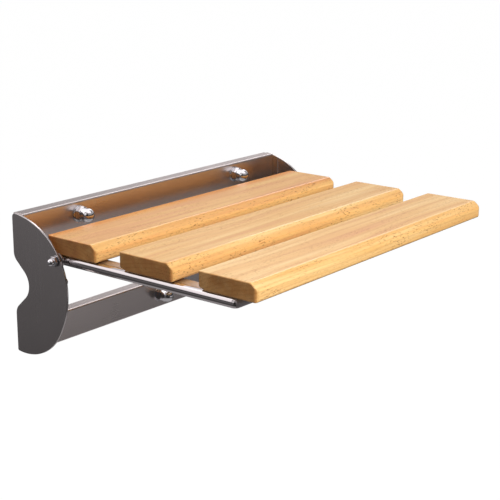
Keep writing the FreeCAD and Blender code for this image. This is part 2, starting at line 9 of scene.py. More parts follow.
# %% Load the solids
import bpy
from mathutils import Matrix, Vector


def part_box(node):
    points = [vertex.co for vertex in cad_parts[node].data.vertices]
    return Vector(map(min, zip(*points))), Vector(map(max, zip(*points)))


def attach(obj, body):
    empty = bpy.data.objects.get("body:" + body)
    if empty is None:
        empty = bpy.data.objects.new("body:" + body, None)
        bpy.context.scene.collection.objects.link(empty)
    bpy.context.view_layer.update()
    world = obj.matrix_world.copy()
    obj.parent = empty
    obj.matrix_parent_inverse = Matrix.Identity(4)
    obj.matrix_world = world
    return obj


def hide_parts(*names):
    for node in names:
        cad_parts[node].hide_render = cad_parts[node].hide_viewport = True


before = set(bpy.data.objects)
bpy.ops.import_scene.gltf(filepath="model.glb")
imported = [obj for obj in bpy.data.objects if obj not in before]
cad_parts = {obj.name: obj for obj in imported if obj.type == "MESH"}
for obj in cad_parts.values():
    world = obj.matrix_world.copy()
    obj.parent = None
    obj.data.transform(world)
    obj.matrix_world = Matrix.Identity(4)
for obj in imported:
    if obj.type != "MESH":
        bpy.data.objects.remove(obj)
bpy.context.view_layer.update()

import math

import bmesh
import bpy
from mathutils import Matrix, Vector

# %% [markdown]
# ## Measuring like the workshop does
#
# X runs along the slats, the wall is the plane Y = 0 and Z is up. A workshop drawing of the seat
# would say how far a point stands out from the wall and how far below the bracket's top edge it
# is, so the lesson has a helper that takes those two numbers, in millimetres. The places
# themselves are read from the solids, so that nothing has to be fitted afterwards.

# %% Units and places
MM = 0.001
SIDES = {"left": -1, "right": 1}


def at(across, depth, drop):
    """A point from millimetres across, out from the wall and below the top edge."""
    return Vector((across, -depth, -drop)) * MM


def span(node):
    """A solid's box in millimetres: lowest and highest across, depth and drop."""
    low, high = (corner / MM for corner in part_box(node))
    return {"across": (low.x, high.x), "depth": (-high.y, -low.y), "drop": (-high.z, -low.z)}


def middle(node, axis):
    return sum(span(node)[axis]) / 2


def size(node, axis):
    low, high = span(node)[axis]
    return high - low


plate_inner = span("right_side_plate")["across"][0]
slat_top, slat_under = span("rear_slat")["drop"]
arm_across = middle("right_arm", "across")
arm_drop = middle("right_arm", "drop")
bar_radius = size("right_arm", "across") / 2
pivot_depth = middle("right_pivot_screw", "depth")
print(f"plates {plate_inner:.1f} out, pivot {pivot_depth:.1f} from the wall, bar {bar_radius:.1f}")

# %% [markdown]
# ## A short way to write node trees
#
# Materials and Geometry Nodes are both graphs. Written node by node they hide the idea behind
# them, so one small class wraps an output socket and lets Python's own signs make the Math
# nodes. A second class makes any other node in one call: its type, its settings, then its
# inputs. The settings come first because some of them decide which sockets a node has.

# %% The class for sockets
def is_wide(value):
    """True for a colour or a vector, which need Vector Math to keep all three numbers."""
    if isinstance(value, Signal):
        return value.socket.type in {"VECTOR", "RGBA"}
    return isinstance(value, (tuple, list, Vector))


class Signal:
    """A node's output, which can be added, scaled and divided like a number."""

    def __init__(self, graph, socket):
        self.graph = graph
        self.socket = socket

    def maths(self, operation, *values):
        kind = "ShaderNodeVectorMath" if any(map(is_wide, values)) else "ShaderNodeMath"
        return self.graph.node(kind, {"operation": operation}, dict(enumerate(values)))

    def __add__(self, other):
        return self.maths("ADD", self, other)

    def __radd__(self, other):
        return self.maths("ADD", other, self)

    def __sub__(self, other):
        return self.maths("SUBTRACT", self, other)

    def __rsub__(self, other):
        return self.maths("SUBTRACT", other, self)

    def __mul__(self, other):
        return self.maths("MULTIPLY", self, other)

    def __rmul__(self, other):
        return self.maths("MULTIPLY", other, self)

    def __truediv__(self, other):
        return self.maths("DIVIDE", self, other)

    def __rtruediv__(self, other):
        return self.maths("DIVIDE", other, self)

    def __abs__(self):
        return self.maths("ABSOLUTE", self)

    def between(self, low, high):
        """0 below low, 1 above high, and a soft step in between."""
        limits = {"Value": self, "From Min": low, "From Max": high}
        return self.graph.node("ShaderNodeMapRange", {"interpolation_type": "SMOOTHSTEP"}, limits)

    def blend(self, other, share):
        """This colour where share is 0 and the other where it is 1."""
        return self.graph.mix(share, self, other)


print("a number is wide:", is_wide(1.0), "and a colour is wide:", is_wide((1, 0, 0)))

# %% The class for trees
def find_socket(sockets, key):
    """A socket by its number, its identifier or its name."""
    if isinstance(key, int):
        return sockets[key]
    exact = [socket for socket in sockets if socket.identifier == key]
    named = [socket for socket in sockets if socket.name == key and socket.enabled]
    return (exact + named)[0]


class Graph:
    """A node tree that grows by one call for each node."""

    def __init__(self, tree):
        self.tree = tree

    def node(self, kind, settings=None, inputs=None, output=0):
        made = self.tree.nodes.new(kind)
        for name, value in (settings or {}).items():
            if name == "stops":
                self.set_stops(made.color_ramp, value)
            else:
                setattr(made, name, value)
        for key, value in (inputs or {}).items():
            self.feed(find_socket(made.inputs, key), value)
        return Signal(self, find_socket(made.outputs, output)) if made.outputs else None

    def mix(self, share, first, second):
        """The first colour where share is 0 and the second where it is 1."""
        inputs = {"Factor_Float": share, "A_Color": first, "B_Color": second}
        return self.node("ShaderNodeMix", {"data_type": "RGBA"}, inputs, "Result_Color")

    def set_stops(self, ramp, stops):
        while len(ramp.elements) < len(stops):
            ramp.elements.new(0.5)
        for element, (place, colour) in zip(ramp.elements, stops):
            element.position = place
            element.color = (*colour[:3], 1)

    def feed(self, socket, value):
        if isinstance(value, Signal):
            self.tree.links.new(value.socket, socket)
        elif socket.type == "RGBA":
            socket.default_value = (*value[:3], 1)
        elif socket.type == "VECTOR" and not is_wide(value):
            socket.default_value = (value, value, value)
        else:
            socket.default_value = value


trial = Graph(bpy.data.node_groups.new("trial", "ShaderNodeTree"))
mask = trial.node("ShaderNodeValue")
print("1 - mask * 0.5 ends in the node", (1 - mask * 0.5).socket.node.name)
bpy.data.node_groups.remove(trial.tree)

# %% [markdown]
# ## Tools for finishes
#
# Every finish starts from the place on the object, in metres, because the piece itself never
# turns or scales. A noise texture that is stretched along one axis gives grain in wood and
# brush lines in steel: a high scale across the lines and a low one along them. Colours are
# written the way a paint card gives them, from 0 to 255, and turned into the linear values that
# shaders work with.

# %% Helpers for finishes
def paint(red, green, blue):
    """A linear colour from paint card values."""
    shares = [value / 255 for value in (red, green, blue)]
    return tuple(((s + 0.055) / 1.055) ** 2.4 if s > 0.04045 else s / 12.92 for s in shares)


def new_finish(name):
    material = bpy.data.materials.new(name)
    material.use_nodes = True
    material.node_tree.nodes.clear()
    return material, Graph(material.node_tree)


def object_spot(graph):
    return graph.node("ShaderNodeTexCoord", output="Object")


def split(spot):
    """The three numbers of a vector, each as a signal."""
    parts = spot.graph.node("ShaderNodeSeparateXYZ", inputs={"Vector": spot})
    sockets = parts.socket.node.outputs
    return [Signal(spot.graph, socket) for socket in sockets]


def from_axis(first, second):
    """How far a point is from an axis, from its two coordinates across that axis."""
    square = first.maths("POWER", first, 2.0) + second.maths("POWER", second, 2.0)
    return square.maths("SQRT", square)


def noise(spot, per_metre, detail=2.0, rough=0.5):
    """Soft noise from 0 to 1, with so many lumps in a metre, or a number for each axis."""
    inputs = {"Vector": spot * per_metre, "Scale": 1.0, "Detail": detail, "Roughness": rough}
    return spot.graph.node("ShaderNodeTexNoise", inputs=inputs, output="Fac")


def bump(height, distance, strength=1.0):
    """A surface that rises by distance metres where height is 1."""
    inputs = {"Height": height, "Distance": distance, "Strength": strength}
    return height.graph.node("ShaderNodeBump", inputs=inputs, output="Normal")


def surface(graph, **inputs):
    """The Principled shader with its sockets given by name, such as Base_Color."""
    named = {name.replace("_", " "): value for name, value in inputs.items()}
    shader = graph.node("ShaderNodeBsdfPrincipled", inputs=named)
    graph.node("ShaderNodeOutputMaterial", inputs={"Surface": shader})


print("paint(255, 255, 255) is", paint(255, 255, 255))

# %% [markdown]
# ## Varnished wood
#
# The slats are a pale, straight-grained hardwood with a clear satin varnish. Three things make
# it read as wood. Growth rings are tubes round a pith that lies outside the board, so the same
# rings draw long lines on the top and short arcs on the sawn ends. Fine streaks run along the
# board. Pores are dark dashes a few millimetres long, in clusters, and show most on the edges
# and bevels, where the cut opens them. All three are solid patterns in object space, so they
# meet at the edges as they do in a real plank. Each board reads a number from its mesh, which
# moves it to another part of the log. The sawn ends are darker, because open pores drink more
# varnish. Beside the steel rail, the rear slat's back edge gets a painted shade: a darker and
# more orange tint where the rail keeps light and sheen off the wood.
#
# A picture of wood could be wrapped on each board instead, but it would show a seam at every
# edge and the same knots three times.

# %% The log
RING_PITCH = 0.0042
RING_WOBBLE = 1.5
BELOW_PITH = (0.0, 0.06, 0.16)
BOARD_STEP = (0.61, 0.173, 0.097)
LOG_BEND = (0.0, 0.012, 0.009)


def board_number(graph):
    return graph.node("ShaderNodeAttribute", {"attribute_name": "board"}, output="Fac")


def log_spot(graph):
    """A place in the log that the board was sawn from, bent a little along its length."""
    board = board_number(graph)
    shift = graph.node("ShaderNodeCombineXYZ", inputs={0: board, 1: board, 2: board})
    spot = object_spot(graph) + shift * BOARD_STEP
    bend = noise(spot, (3.0, 7.0, 7.0), detail=1.0) - 0.5
    lift = graph.node("ShaderNodeCombineXYZ", inputs={0: 0.0, 1: bend, 2: bend})
    return spot + lift * LOG_BEND


def growth_rings(spot):
    """Thin dark lines of late wood round a pith below the boards."""
    depth, height = split(spot + BELOW_PITH)[1:]
    turns = from_axis(depth, height) / RING_PITCH
    year = turns.maths("FRACT", turns + noise(spot, (4.0, 30.0, 30.0)) * RING_WOBBLE)
    return year.between(0.45, 0.95) - year.between(0.95, 1.0)


def open_pores(spot):
    """Short dark dashes that crowd together in places."""
    clusters = noise(spot, (18.0, 70.0, 70.0), detail=1.0).between(0.4, 0.6)
    dashes = noise(spot, (210.0, 1000.0, 1000.0), detail=1.0).between(0.59, 0.68)
    return dashes * (clusters * 0.7 + 0.3)


print(f"a 20 mm board holds {0.02 / RING_PITCH:.1f} growth rings")

# %% The varnished boards
GRAIN_TONES = [
    (0.34, paint(218, 156, 97)),
    (0.5, paint(228, 178, 108)),
    (0.67, paint(242, 205, 143)),
]
RING_TONE = paint(190, 118, 54)
PORE_TONE = paint(128, 80, 42)
SAWN_TINT = (0.86, 0.68, 0.58)
RAIL_SHADE_TINT = (1.02, 0.8, 0.55)
GRAIN_RELIEF = 0.00012
# How far from the rear slat's back edge the painted shade beside the rail starts, and where it is
# full
RAIL_SHADE_START, RAIL_SHADE_FULL = 17, 5
back_edge = span("rear_slat")["depth"][0]
rail_shade_band = [-(back_edge + reach) * MM for reach in (RAIL_SHADE_START, RAIL_SHADE_FULL)]


def wood_finish():
    material, graph = new_finish("varnished_slat_wood")
    spot = log_spot(graph)
    streaks = noise(spot, (3.6, 98.0, 98.0), detail=4.0, rough=0.6)
    zones = noise(spot, (2.2, 26.0, 26.0))
    rings = growth_rings(spot)
    pores = open_pores(spot)
    facing = split(graph.node("ShaderNodeTexCoord", output="Normal"))
    edgewise = abs(facing[1]).between(0.3, 0.7)
    sawn_end = abs(facing[0]).between(0.6, 0.9)
    rail_shade = split(object_spot(graph))[1].between(*rail_shade_band)
    grain = streaks * 0.55 + zones * 0.45 + (board_number(graph) - 0.7) * 0.05
    tone = graph.node("ShaderNodeValToRGB", {"stops": GRAIN_TONES}, {"Fac": grain})
    tone = tone.blend(RING_TONE, rings * 0.22)
    tone = tone.blend(PORE_TONE, pores * (edgewise * 0.3 + 0.5))
    tone = tone.blend(tone * SAWN_TINT * (zones + 0.5), sawn_end)
    # Painted shade: the rear slat's back edge, beside the rail, turns darker and more orange
    tone = tone.blend(tone * RAIL_SHADE_TINT, rail_shade)
    height = streaks * 0.5 - pores - rings * 0.15
    surface(
        graph,
        Base_Color=tone,
        Roughness=0.42 + streaks * 0.12 + pores * 0.2,
        Specular_IOR_Level=0.25,
        Coat_Weight=0.65 - pores * 0.4 - sawn_end * 0.4,
        Coat_Roughness=0.13,
        Normal=bump(height, GRAIN_RELIEF, 0.6),
    )
    return material


slat_wood = wood_finish()
print(slat_wood.name, "has", len(slat_wood.node_tree.nodes), "nodes")

# %% [markdown]
# ## Satin steel, bright bar and plated nuts
#
# The plates and rails are stainless sheet, ground in one direction. Their finish is one
# function with the direction as an argument: brush lines are noise with a low scale along the
# grinding and a very high one across it, and they change the roughness as well as the relief.
# A few longer scratches and a slight cloudiness from wiping keep it from looking new. The
# bar is polished and the nuts are plated, so they use the same function with much finer
# settings. Welding the mitres dulls a bar, so the front bar is rougher towards its two ends.

# %% A ground or polished metal
FADED, LIT = 0.9, 1.08
WIPED = 14.0
SCRATCHES_ASIDE = (0.3, 0.1, 0.2)
# Metres from the seat's middle where the dulled end of the front bar starts, and is full
WELD_REACH = (0.195, 0.2)


def metal_finish(name, colour, rough, lines, depth, cloud=0.06, corner=0.0):
    """Metal with grinding lines: lines is how many there are in a metre along each axis.

    corner is the roughness that the ground welds add towards the front bar's ends.
    """
    material, graph = new_finish(name)
    spot = object_spot(graph)
    brush = noise(spot, lines, detail=3.0, rough=0.7)
    wiping = noise(spot, WIPED, detail=3.0, rough=0.55)
    scratch = noise(spot + SCRATCHES_ASIDE, tuple(rate * 0.45 for rate in lines), detail=1.0)
    scratch = scratch.between(0.7, 0.76)
    faded = tuple(part * FADED for part in colour)
    lit = tuple(min(part * LIT, 1.0) for part in colour)
    steel = graph.mix(brush * 0.5 + wiping * 0.5, faded, lit)
    wear = (wiping - 0.5) * cloud * 2 + (brush - 0.5) * 0.08 + scratch * 0.1
    if corner:
        wear = wear + abs(split(spot)[0]).between(*WELD_REACH) * corner
    surface(
        graph,
        Base_Color=steel,
        Metallic=1.0,
        Roughness=rough + wear,
        Normal=bump(brush - scratch * 0.6, depth),
    )
    return material


print("welds dull the front bar from", WELD_REACH[0], "m out")

# %% The metals
SATIN = paint(195, 190, 190)
PALE = paint(216, 208, 206)
BRIGHT = paint(192, 187, 188)
PLATED = paint(222, 221, 224)
ZINC = paint(196, 197, 192)
# Lines in a metre across the grinding of each kind of metal, and along it
GROUND, POLISHED, ROLLED, ALONG = 1400.0, 900.0, 700.0, 9.0
# Plated surfaces have specks in place of lines
CHROME_SPECKS, ZINC_SPECKS = (500.0,) * 3, (300.0,) * 3
MICRON = 0.000001
front_bar_lines = (ALONG, POLISHED, POLISHED)
arm_lines = (POLISHED, ALONG, POLISHED)

rail_steel = metal_finish("ground_rail_steel", PALE, 0.3, (ALONG, GROUND, GROUND), 6 * MICRON)
plate_steel = metal_finish("ground_plate_steel", SATIN, 0.24, (GROUND, GROUND, ALONG), 6 * MICRON)
bar_steel = metal_finish("polished_bar", BRIGHT, 0.1, arm_lines, 2 * MICRON)
front_bar_steel = metal_finish(
    "polished_cross_bar", BRIGHT, 0.1, front_bar_lines, 2 * MICRON, corner=0.6
)
nut_chrome = metal_finish("plated_fixings", PLATED, 0.05, CHROME_SPECKS, MICRON, 0.02)
plain_steel = metal_finish("rolled_steel", SATIN, 0.32, (ROLLED, ALONG, ROLLED), 8 * MICRON)
zinc_steel = metal_finish("zinc_plate", ZINC, 0.3, ZINC_SPECKS, 4 * MICRON, 0.1)
print("seven metals, each of", len(rail_steel.node_tree.nodes), "nodes or a few more")

# %% [markdown]
# ## Moulded nylon
#
# The pivots run in nylon bushes and thrust rings. Moulded nylon is nearly black, has a fine
# spark-eroded texture and a soft sheen where it rubs, so it gets a small bump and a roughness
# that wanders.

# %% The plastic
def nylon_finish():
    material, graph = new_finish("moulded_nylon")
    spot = object_spot(graph)
    texture = noise(spot, 2600.0, detail=1.0)
    rub = noise(spot, 120.0)
    shade = graph.mix(rub, paint(30, 30, 33), paint(52, 51, 52))
    surface(
        graph,
        Base_Color=shade,
        Roughness=0.4 + rub * 0.2,
        Normal=bump(texture, 10 * MICRON),
    )
    return material


nylon = nylon_finish()
print(nylon.name, "has", len(nylon.node_tree.nodes), "nodes")

# %% [markdown]
# ## Turning meshes into pieces
#
# A finished piece needs the same few steps each time: a mesh in millimetres is moved to its
# place in metres, gets its finish, rides on a body of the model and stands for one or more
# solids. Edges on real parts are never razor sharp, so most pieces get a small bevel. Weighted
# normals then keep the broad faces flat while the bevels catch the light.

# %% Helpers for meshes
def new_piece(name, mesh):
    piece = bpy.data.objects.new(name, mesh)
    bpy.context.scene.collection.objects.link(piece)
    return piece


def mesh_from(name, shape):
    """A mesh from a bmesh, with its faces turned outwards."""
    bmesh.ops.recalc_face_normals(shape, faces=shape.faces)
    mesh = bpy.data.meshes.new(name)
    shape.to_mesh(mesh)
    shape.free()
    return mesh


def move_mesh(mesh, spot, turn):
    """Turn a mesh drawn in millimetres and put it at a place in metres."""
    mesh.transform(Matrix.Translation(spot) @ turn @ Matrix.Scale(MM, 4))


def keep_sharp(mesh, angle):
    """Leave the edges crisp where two faces meet at more than an angle in degrees."""
    mesh.set_sharp_from_angle(angle=math.radians(angle))


print("meshes are drawn at", MM, "m to the unit")

# %% Helpers for pieces
def round_edges(piece, width, angle, segments=3):
    """A live bevel on the edges that turn by more than an angle in degrees."""
    bevel = piece.modifiers.new("edges", "BEVEL")
    bevel.width = width * MM
    bevel.segments = segments
    bevel.limit_method = "ANGLE"
    bevel.angle_limit = math.radians(angle)
    bevel.use_clamp_overlap = False


def keep_flats(piece):
    weighted = piece.modifiers.new("flats", "WEIGHTED_NORMAL")
    weighted.keep_sharp = True


def dress(piece, finish, body, slot, *nodes):
    """Give a piece its finish, the body that carries it and the solids it stands for."""
    piece.data.materials.clear()
    piece.data.materials.append(finish)
    piece.data.shade_smooth()
    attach(piece, body)
    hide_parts(*nodes)
    print(piece.name, "rides on", body, "with", len(piece.data.polygons), "faces")


def shown_mesh(piece):
    """A plain mesh of what a piece looks like with its modifiers or as a curve."""
    shown = piece.evaluated_get(bpy.context.evaluated_depsgraph_get())
    return bpy.data.meshes.new_from_object(shown)


def bake_modifiers(piece):
    """Turn what a piece's modifiers make into a plain mesh, and drop the modifiers."""
    mesh = shown_mesh(piece)
    piece.modifiers.clear()
    piece.data = mesh


# %% [markdown]
# ## Outlines made of lines and arcs
#
# Sheet parts are drawn as a few corners, some of which are joined by arcs of a known radius,
# just as on their drawing. The helper below walks such an outline and returns enough points
# for a smooth edge. An arc is given by its radius and by the side it turns to.

# %% Outlines
def arc_points(start, end, radius, turn, steps):
    """Points on the shorter arc from start to end, without the end itself."""
    start, end = Vector(start), Vector(end)
    chord = end - start
    side = Vector((-chord.y, chord.x)).normalized() * turn
    centre = (start + end) / 2 + side * math.sqrt(radius**2 - (chord.length / 2) ** 2)
    first, last = start - centre, end - centre
    sweep = first.angle_signed(last)
    points = []
    for step in range(steps):
        angle = -sweep * step / steps
        spoke = Matrix.Rotation(angle, 2) @ first
        points.append(tuple(centre + spoke))
    return points


def outline(corners, arcs, steps=12):
    """All the points of a closed outline. arcs maps a corner to the arc that follows it."""
    points = []
    for number, corner in enumerate(corners):
        following = corners[(number + 1) % len(corners)]
        if number in arcs:
            radius, turn = arcs[number]
            points += arc_points(corner, following, radius, turn, steps)
        else:
            points.append(tuple(corner))
    return points


square_with_round = outline([(0, 0), (10, 0), (10, 10), (0, 10)], {1: (20, 1)}, steps=4)
print("a sample outline has", len(square_with_round), "points")

# %% [markdown]
# ## Side plates
#
# Each plate is laser-cut 2.5 mm sheet. Its front edge is four arcs that run into each other, and
# its rear edge has a notch with S-shaped sides. A filled 2D curve suits sheet parts well: it
# takes the outline and the pivot hole as two splines, and its extrude and bevel settings give
# the thickness and the rounded rim, also inside the hole. The curve then becomes a mesh.

# %% A helper for sheet parts
# A sheet part is drawn on (depth, drop) turned to (-depth, -drop), so that it faces +X
SHEET_TURN = Matrix(((0, 0, 1, 0), (1, 0, 0, 0), (0, 1, 0, 0), (0, 0, 0, 1)))
WELD_DISTANCE = 1e-4
CIRCLE_STEPS = 48


def circle_points(across, along, radius):
    angles = [math.tau * step / CIRCLE_STEPS for step in range(CIRCLE_STEPS)]
    return [(across + radius * math.cos(a), along + radius * math.sin(a)) for a in angles]


def sheet_mesh(name, loops, thick, rim):
    """A flat part from closed loops of points, with its rim rounded by a radius."""
    curve = bpy.data.curves.new(name, "CURVE")
    curve.dimensions = "2D"
    curve.fill_mode = "BOTH"
    curve.extrude = thick / 2 - rim
    curve.bevel_depth = rim
    curve.bevel_resolution = 2
    curve.offset = -rim
    for points in loops:
        spline = curve.splines.new("POLY")
        spline.points.add(len(points) - 1)
        for point, (across, along) in zip(spline.points, points):
            point.co = (across, along, 0, 1)
        spline.use_cyclic_u = True
    holder = new_piece(name, curve)
    shape = bmesh.new()
    shape.from_mesh(shown_mesh(holder))
    bpy.data.objects.remove(holder)
    bmesh.ops.remove_doubles(shape, verts=shape.verts, dist=WELD_DISTANCE)
    return mesh_from(name, shape)


print("a hole has", len(circle_points(0, 0, 1)), "points")

# %% The plates
NOTCH_MIDDLE, NOTCH_HALF = 81.5, 36.5
NOTCH_LIP, NOTCH_ROOT = 13.6, 21
NOTCH_SLOPE, NOTCH_SIDE = math.radians(47), 16.4
PLATE_CORNERS = [
    (0, -5), (-5, 0), (-6, 0), (-50.7, -16.1), (-84.9, -80.9), (-74.7, -121.9), (-12, -164),
    (-2, -163.26), (0, -161.26),
]
PLATE_ARCS = {
    0: (5, 1), 2: (99, 1), 3: (76.5, 1), 4: (93, 1), 5: (67.7, 1), 6: (67.7, 1), 7: (2, 1),
    9: (NOTCH_LIP, 1), 11: (NOTCH_ROOT, -1), 13: (NOTCH_LIP, 1),
}
BUSH_HOLE = 4.5
RIM = 0.5


def notch_corners():
    """The notch from bottom to top, on the plate's rear edge."""
    lip_in = NOTCH_LIP * (1 - math.cos(NOTCH_SLOPE))
    side_in = lip_in + NOTCH_SIDE * math.sin(NOTCH_SLOPE)
    lip_out = NOTCH_HALF - NOTCH_LIP * math.sin(NOTCH_SLOPE)
    root_half = NOTCH_ROOT * math.sin(NOTCH_SLOPE)
    half = [(0, NOTCH_HALF), (-lip_in, lip_out), (-side_in, root_half)]
    lower = [(u, -NOTCH_MIDDLE - v) for u, v in half]
    upper = [(u, -NOTCH_MIDDLE + v) for u, v in reversed(half)]
    return lower + upper


plate_edge = outline(PLATE_CORNERS + notch_corners(), PLATE_ARCS, steps=20)
for side in SIDES:
    node = f"{side}_side_plate"
    loops = [plate_edge, circle_points(-pivot_depth, -arm_drop, BUSH_HOLE)]
    mesh = sheet_mesh(f"{side}_plate", loops, size(node, "across"), RIM)
    move_mesh(mesh, at(middle(node, "across"), 0, 0), SHEET_TURN)
    plate = new_piece(f"{side}_plate", mesh)
    keep_flats(plate)
    dress(plate, plate_steel, "bracket", "bracket_steel", node)

# %% [markdown]
# ## Rails
#
# The two rails are channels, bent from 1.5 mm sheet, open to the wall. A bend is an arc in the
# section, so the section is drawn once and joined to its copy at the other end. Each end of a
# rail also has a narrow tab, bent forward against the inside of the plate; it is the same kind of
# prism, standing upright. The stud holes are cut with a boolean before the free edges get their
# small bevel, because a bevel made first would be cut through.

# %% Sections of the rails
SHEET = 1.5
BEND = 2
RAIL_DEPTH = 16
TAB_BEND = 1.5
TAB_OVERLAP = 1


def channel_section(height):
    """The rail's section as (depth, drop), with both faces of each bend."""
    depth = RAIL_DEPTH
    inner = BEND - SHEET
    floor = height - SHEET
    corners = [
        (0, 0), (depth - BEND, 0), (depth, BEND), (depth, height - BEND), (depth - BEND, height),
        (0, height), (0, floor), (depth - BEND, floor), (depth - SHEET, floor - inner),
        (depth - SHEET, SHEET + inner), (depth - BEND, SHEET), (0, SHEET),
    ]
    arcs = {1: (BEND, 1), 3: (BEND, 1), 7: (inner, -1), 9: (inner, -1)}
    return outline(corners, arcs, steps=8)


def tab_plan(sign, outer, reach):
    """An end tab seen from above as (across, depth), bent out of the rail's front."""
    face = outer - SHEET
    inside = RAIL_DEPTH - TAB_OVERLAP
    corners = [
        (outer, inside), (outer, reach), (face, reach), (face, RAIL_DEPTH + TAB_BEND),
        (face - TAB_BEND, RAIL_DEPTH), (face - TAB_BEND, inside),
    ]
    return [(across * sign, out) for across, out in outline(corners, {3: (TAB_BEND, -1)}, 5)]


print("the top rail's section has", len(channel_section(size("top_rail", "drop"))), "points")

# %% Prisms and drilled holes
def prism(shape, first, last):
    """A closed solid between two loops of points that match one to one."""
    rows = [[shape.verts.new(spot) for spot in loop] for loop in (first, last)]
    count = len(rows[0])
    for number in range(count):
        after = (number + 1) % count
        shape.faces.new((rows[0][number], rows[0][after], rows[1][after], rows[1][number]))
    for row in rows:
        shape.faces.new(row)


def drill(piece, spots, radius, reach):
    """Cut round holes along Y at the given places, in millimetres."""
    for spot in spots:
        shape = bmesh.new()
        turn = Matrix.Rotation(math.pi / 2, 4, "X")
        place = Matrix.Translation(spot) @ turn @ Matrix.Scale(MM, 4)
        bmesh.ops.create_cone(
            shape, cap_ends=True, segments=CIRCLE_STEPS, radius1=radius, radius2=radius,
            depth=reach, matrix=place,
        )
        cutter = new_piece("drill_bit", mesh_from("drill_bit", shape))
        hole = piece.modifiers.new("hole", "BOOLEAN")
        hole.object = cutter
        hole.solver = "EXACT"
        bake_modifiers(piece)
        bpy.data.objects.remove(cutter)


print("a drilled hole is a prism of", CIRCLE_STEPS, "sides")

# %% The rails
TAB_MARGIN = 3.5
TAB_GAP = 0.02
STUD_HOLE = 5.5
CUT_EDGE = 0.25


def make_rail(node, studs):
    box = span(node)
    top, bottom = box["drop"]
    shape = bmesh.new()
    section = channel_section(bottom - top)
    prism(shape, *([at(x, out, top + down) for out, down in section] for x in box["across"]))
    for sign in SIDES.values():
        plan = tab_plan(sign, plate_inner - TAB_GAP, box["depth"][1])
        drops = (top + TAB_MARGIN, bottom - TAB_MARGIN)
        prism(shape, *([at(x, out, drop) for x, out in plan] for drop in drops))
    rail = new_piece(f"{node}_channel", mesh_from(f"{node}_channel", shape))
    spots = [at(middle(stud, "across"), RAIL_DEPTH, middle(stud, "drop")) for stud in studs]
    drill(rail, spots, STUD_HOLE, RAIL_DEPTH)
    round_edges(rail, CUT_EDGE, angle=60, segments=2)
    keep_flats(rail)
    dress(rail, rail_steel, "bracket", "bracket_steel", node)


make_rail("top_rail", ["left_wall_stud", "right_wall_stud"])
make_rail("bottom_rail", ["bottom_wall_stud"])

# %% [markdown]
# ## Slats
#
# The three slats are the same moulding, so one Geometry Nodes tree makes them all. It takes the
# section as a loop of edges whose corners carry their own rounding radius, turns it into a
# curve, fillets it, and sweeps it along a straight line. Each slat then differs only by the
# tree's named inputs: its length, and the number that moves its grain to another part of the
# log. A bevel modifier rounds the sawn ends of the finished mesh. The front corners are also
# round as seen from above: the mesh is sliced close to the front, and the slices of both ends
# are pushed in until they lie on a quarter circle.

# %% A helper for Geometry Nodes
def new_tree(name, **inputs):
    """The graph of a new Geometry Nodes tree, and its named inputs."""
    tree = bpy.data.node_groups.new(name, "GeometryNodeTree")
    kinds = {float: "NodeSocketFloat", Vector: "NodeSocketVector"}
    tree.interface.new_socket("Geometry", in_out="INPUT", socket_type="NodeSocketGeometry")
    for label, value in inputs.items():
        title = label.replace("_", " ").title()
        socket = tree.interface.new_socket(title, in_out="INPUT", socket_type=kinds[type(value)])
        socket.default_value = value
    tree.interface.new_socket("Finish", in_out="INPUT", socket_type="NodeSocketMaterial")
    tree.interface.new_socket("Geometry", in_out="OUTPUT", socket_type="NodeSocketGeometry")
    graph = Graph(tree)
    entry = graph.node("NodeGroupInput").socket.node
    given = {socket.name: Signal(graph, socket) for socket in entry.outputs if socket.name}
    return graph, given


def close_tree(graph, geometry, given):
    """End a tree the way an export needs: real geometry with its finish set."""
    real = graph.node("GeometryNodeRealizeInstances", inputs={"Geometry": geometry})
    inputs = {"Geometry": real, "Material": given["Finish"]}
    done = graph.node("GeometryNodeSetMaterial", inputs=inputs)
    graph.node("NodeGroupOutput", inputs={0: done})
    print(graph.tree.name, "is a tree of", len(graph.tree.nodes), "nodes")
    return graph.tree


def run_tree(piece, tree, finish, **inputs):
    """Apply a tree to a piece with its inputs set by identifier, and keep the plain mesh."""
    modifier = piece.modifiers.new(tree.name, "NODES")
    modifier.node_group = tree
    wanted = {label.replace("_", " ").title(): value for label, value in inputs.items()}
    wanted["Finish"] = finish
    for item in tree.interface.items_tree:
        if item.in_out == "INPUT" and item.name in wanted:
            modifier[item.identifier] = wanted[item.name]
    bake_modifiers(piece)


print("a tree takes its finish as its last input")

# %% The slat tree
def slat_tree():
    graph, given = new_tree("slat", length=0.45, board=0.0)
    loop = graph.node("GeometryNodeMeshToCurve", inputs={"Mesh": given["Geometry"]})
    named = {"Name": "rounding"}
    radius = graph.node("GeometryNodeInputNamedAttribute", {"data_type": "FLOAT"}, named)
    corner = {"Curve": loop, "Count": 7, "Radius": radius}
    section = graph.node("GeometryNodeFilletCurve", {"mode": "POLY"}, corner)
    half = given["Length"] / 2
    start = graph.node("ShaderNodeCombineXYZ", inputs={"X": half * -1.0})
    end = graph.node("ShaderNodeCombineXYZ", inputs={"X": half})
    path = graph.node("GeometryNodeCurvePrimitiveLine", inputs={"Start": start, "End": end})
    sweep = {"Curve": path, "Profile Curve": section, "Fill Caps": True}
    plank = graph.node("GeometryNodeCurveToMesh", inputs=sweep)
    mark = {"Geometry": plank, "Name": "board", "Value": given["Board"]}
    kept = graph.node("GeometryNodeStoreNamedAttribute", {"data_type": "FLOAT"}, mark)
    return close_tree(graph, kept, given)


slat_maker = slat_tree()

# %% The slats
SLAT_SECTION = [
    # depth and drop from the slat's own rear top edge, then the corner's rounding
    (0, 0, 0.9), (66, 0, 5), (75, 7, 5), (75, 20, 4), (9, 20, 1.2), (0, 17, 0.9),
]
END_ROUNDING = 1.3
PLAN_ROUND = 5
SLICES = (5, 4.2, 3.4, 2.6, 1.9, 1.3, 0.8, 0.4, 0.15)


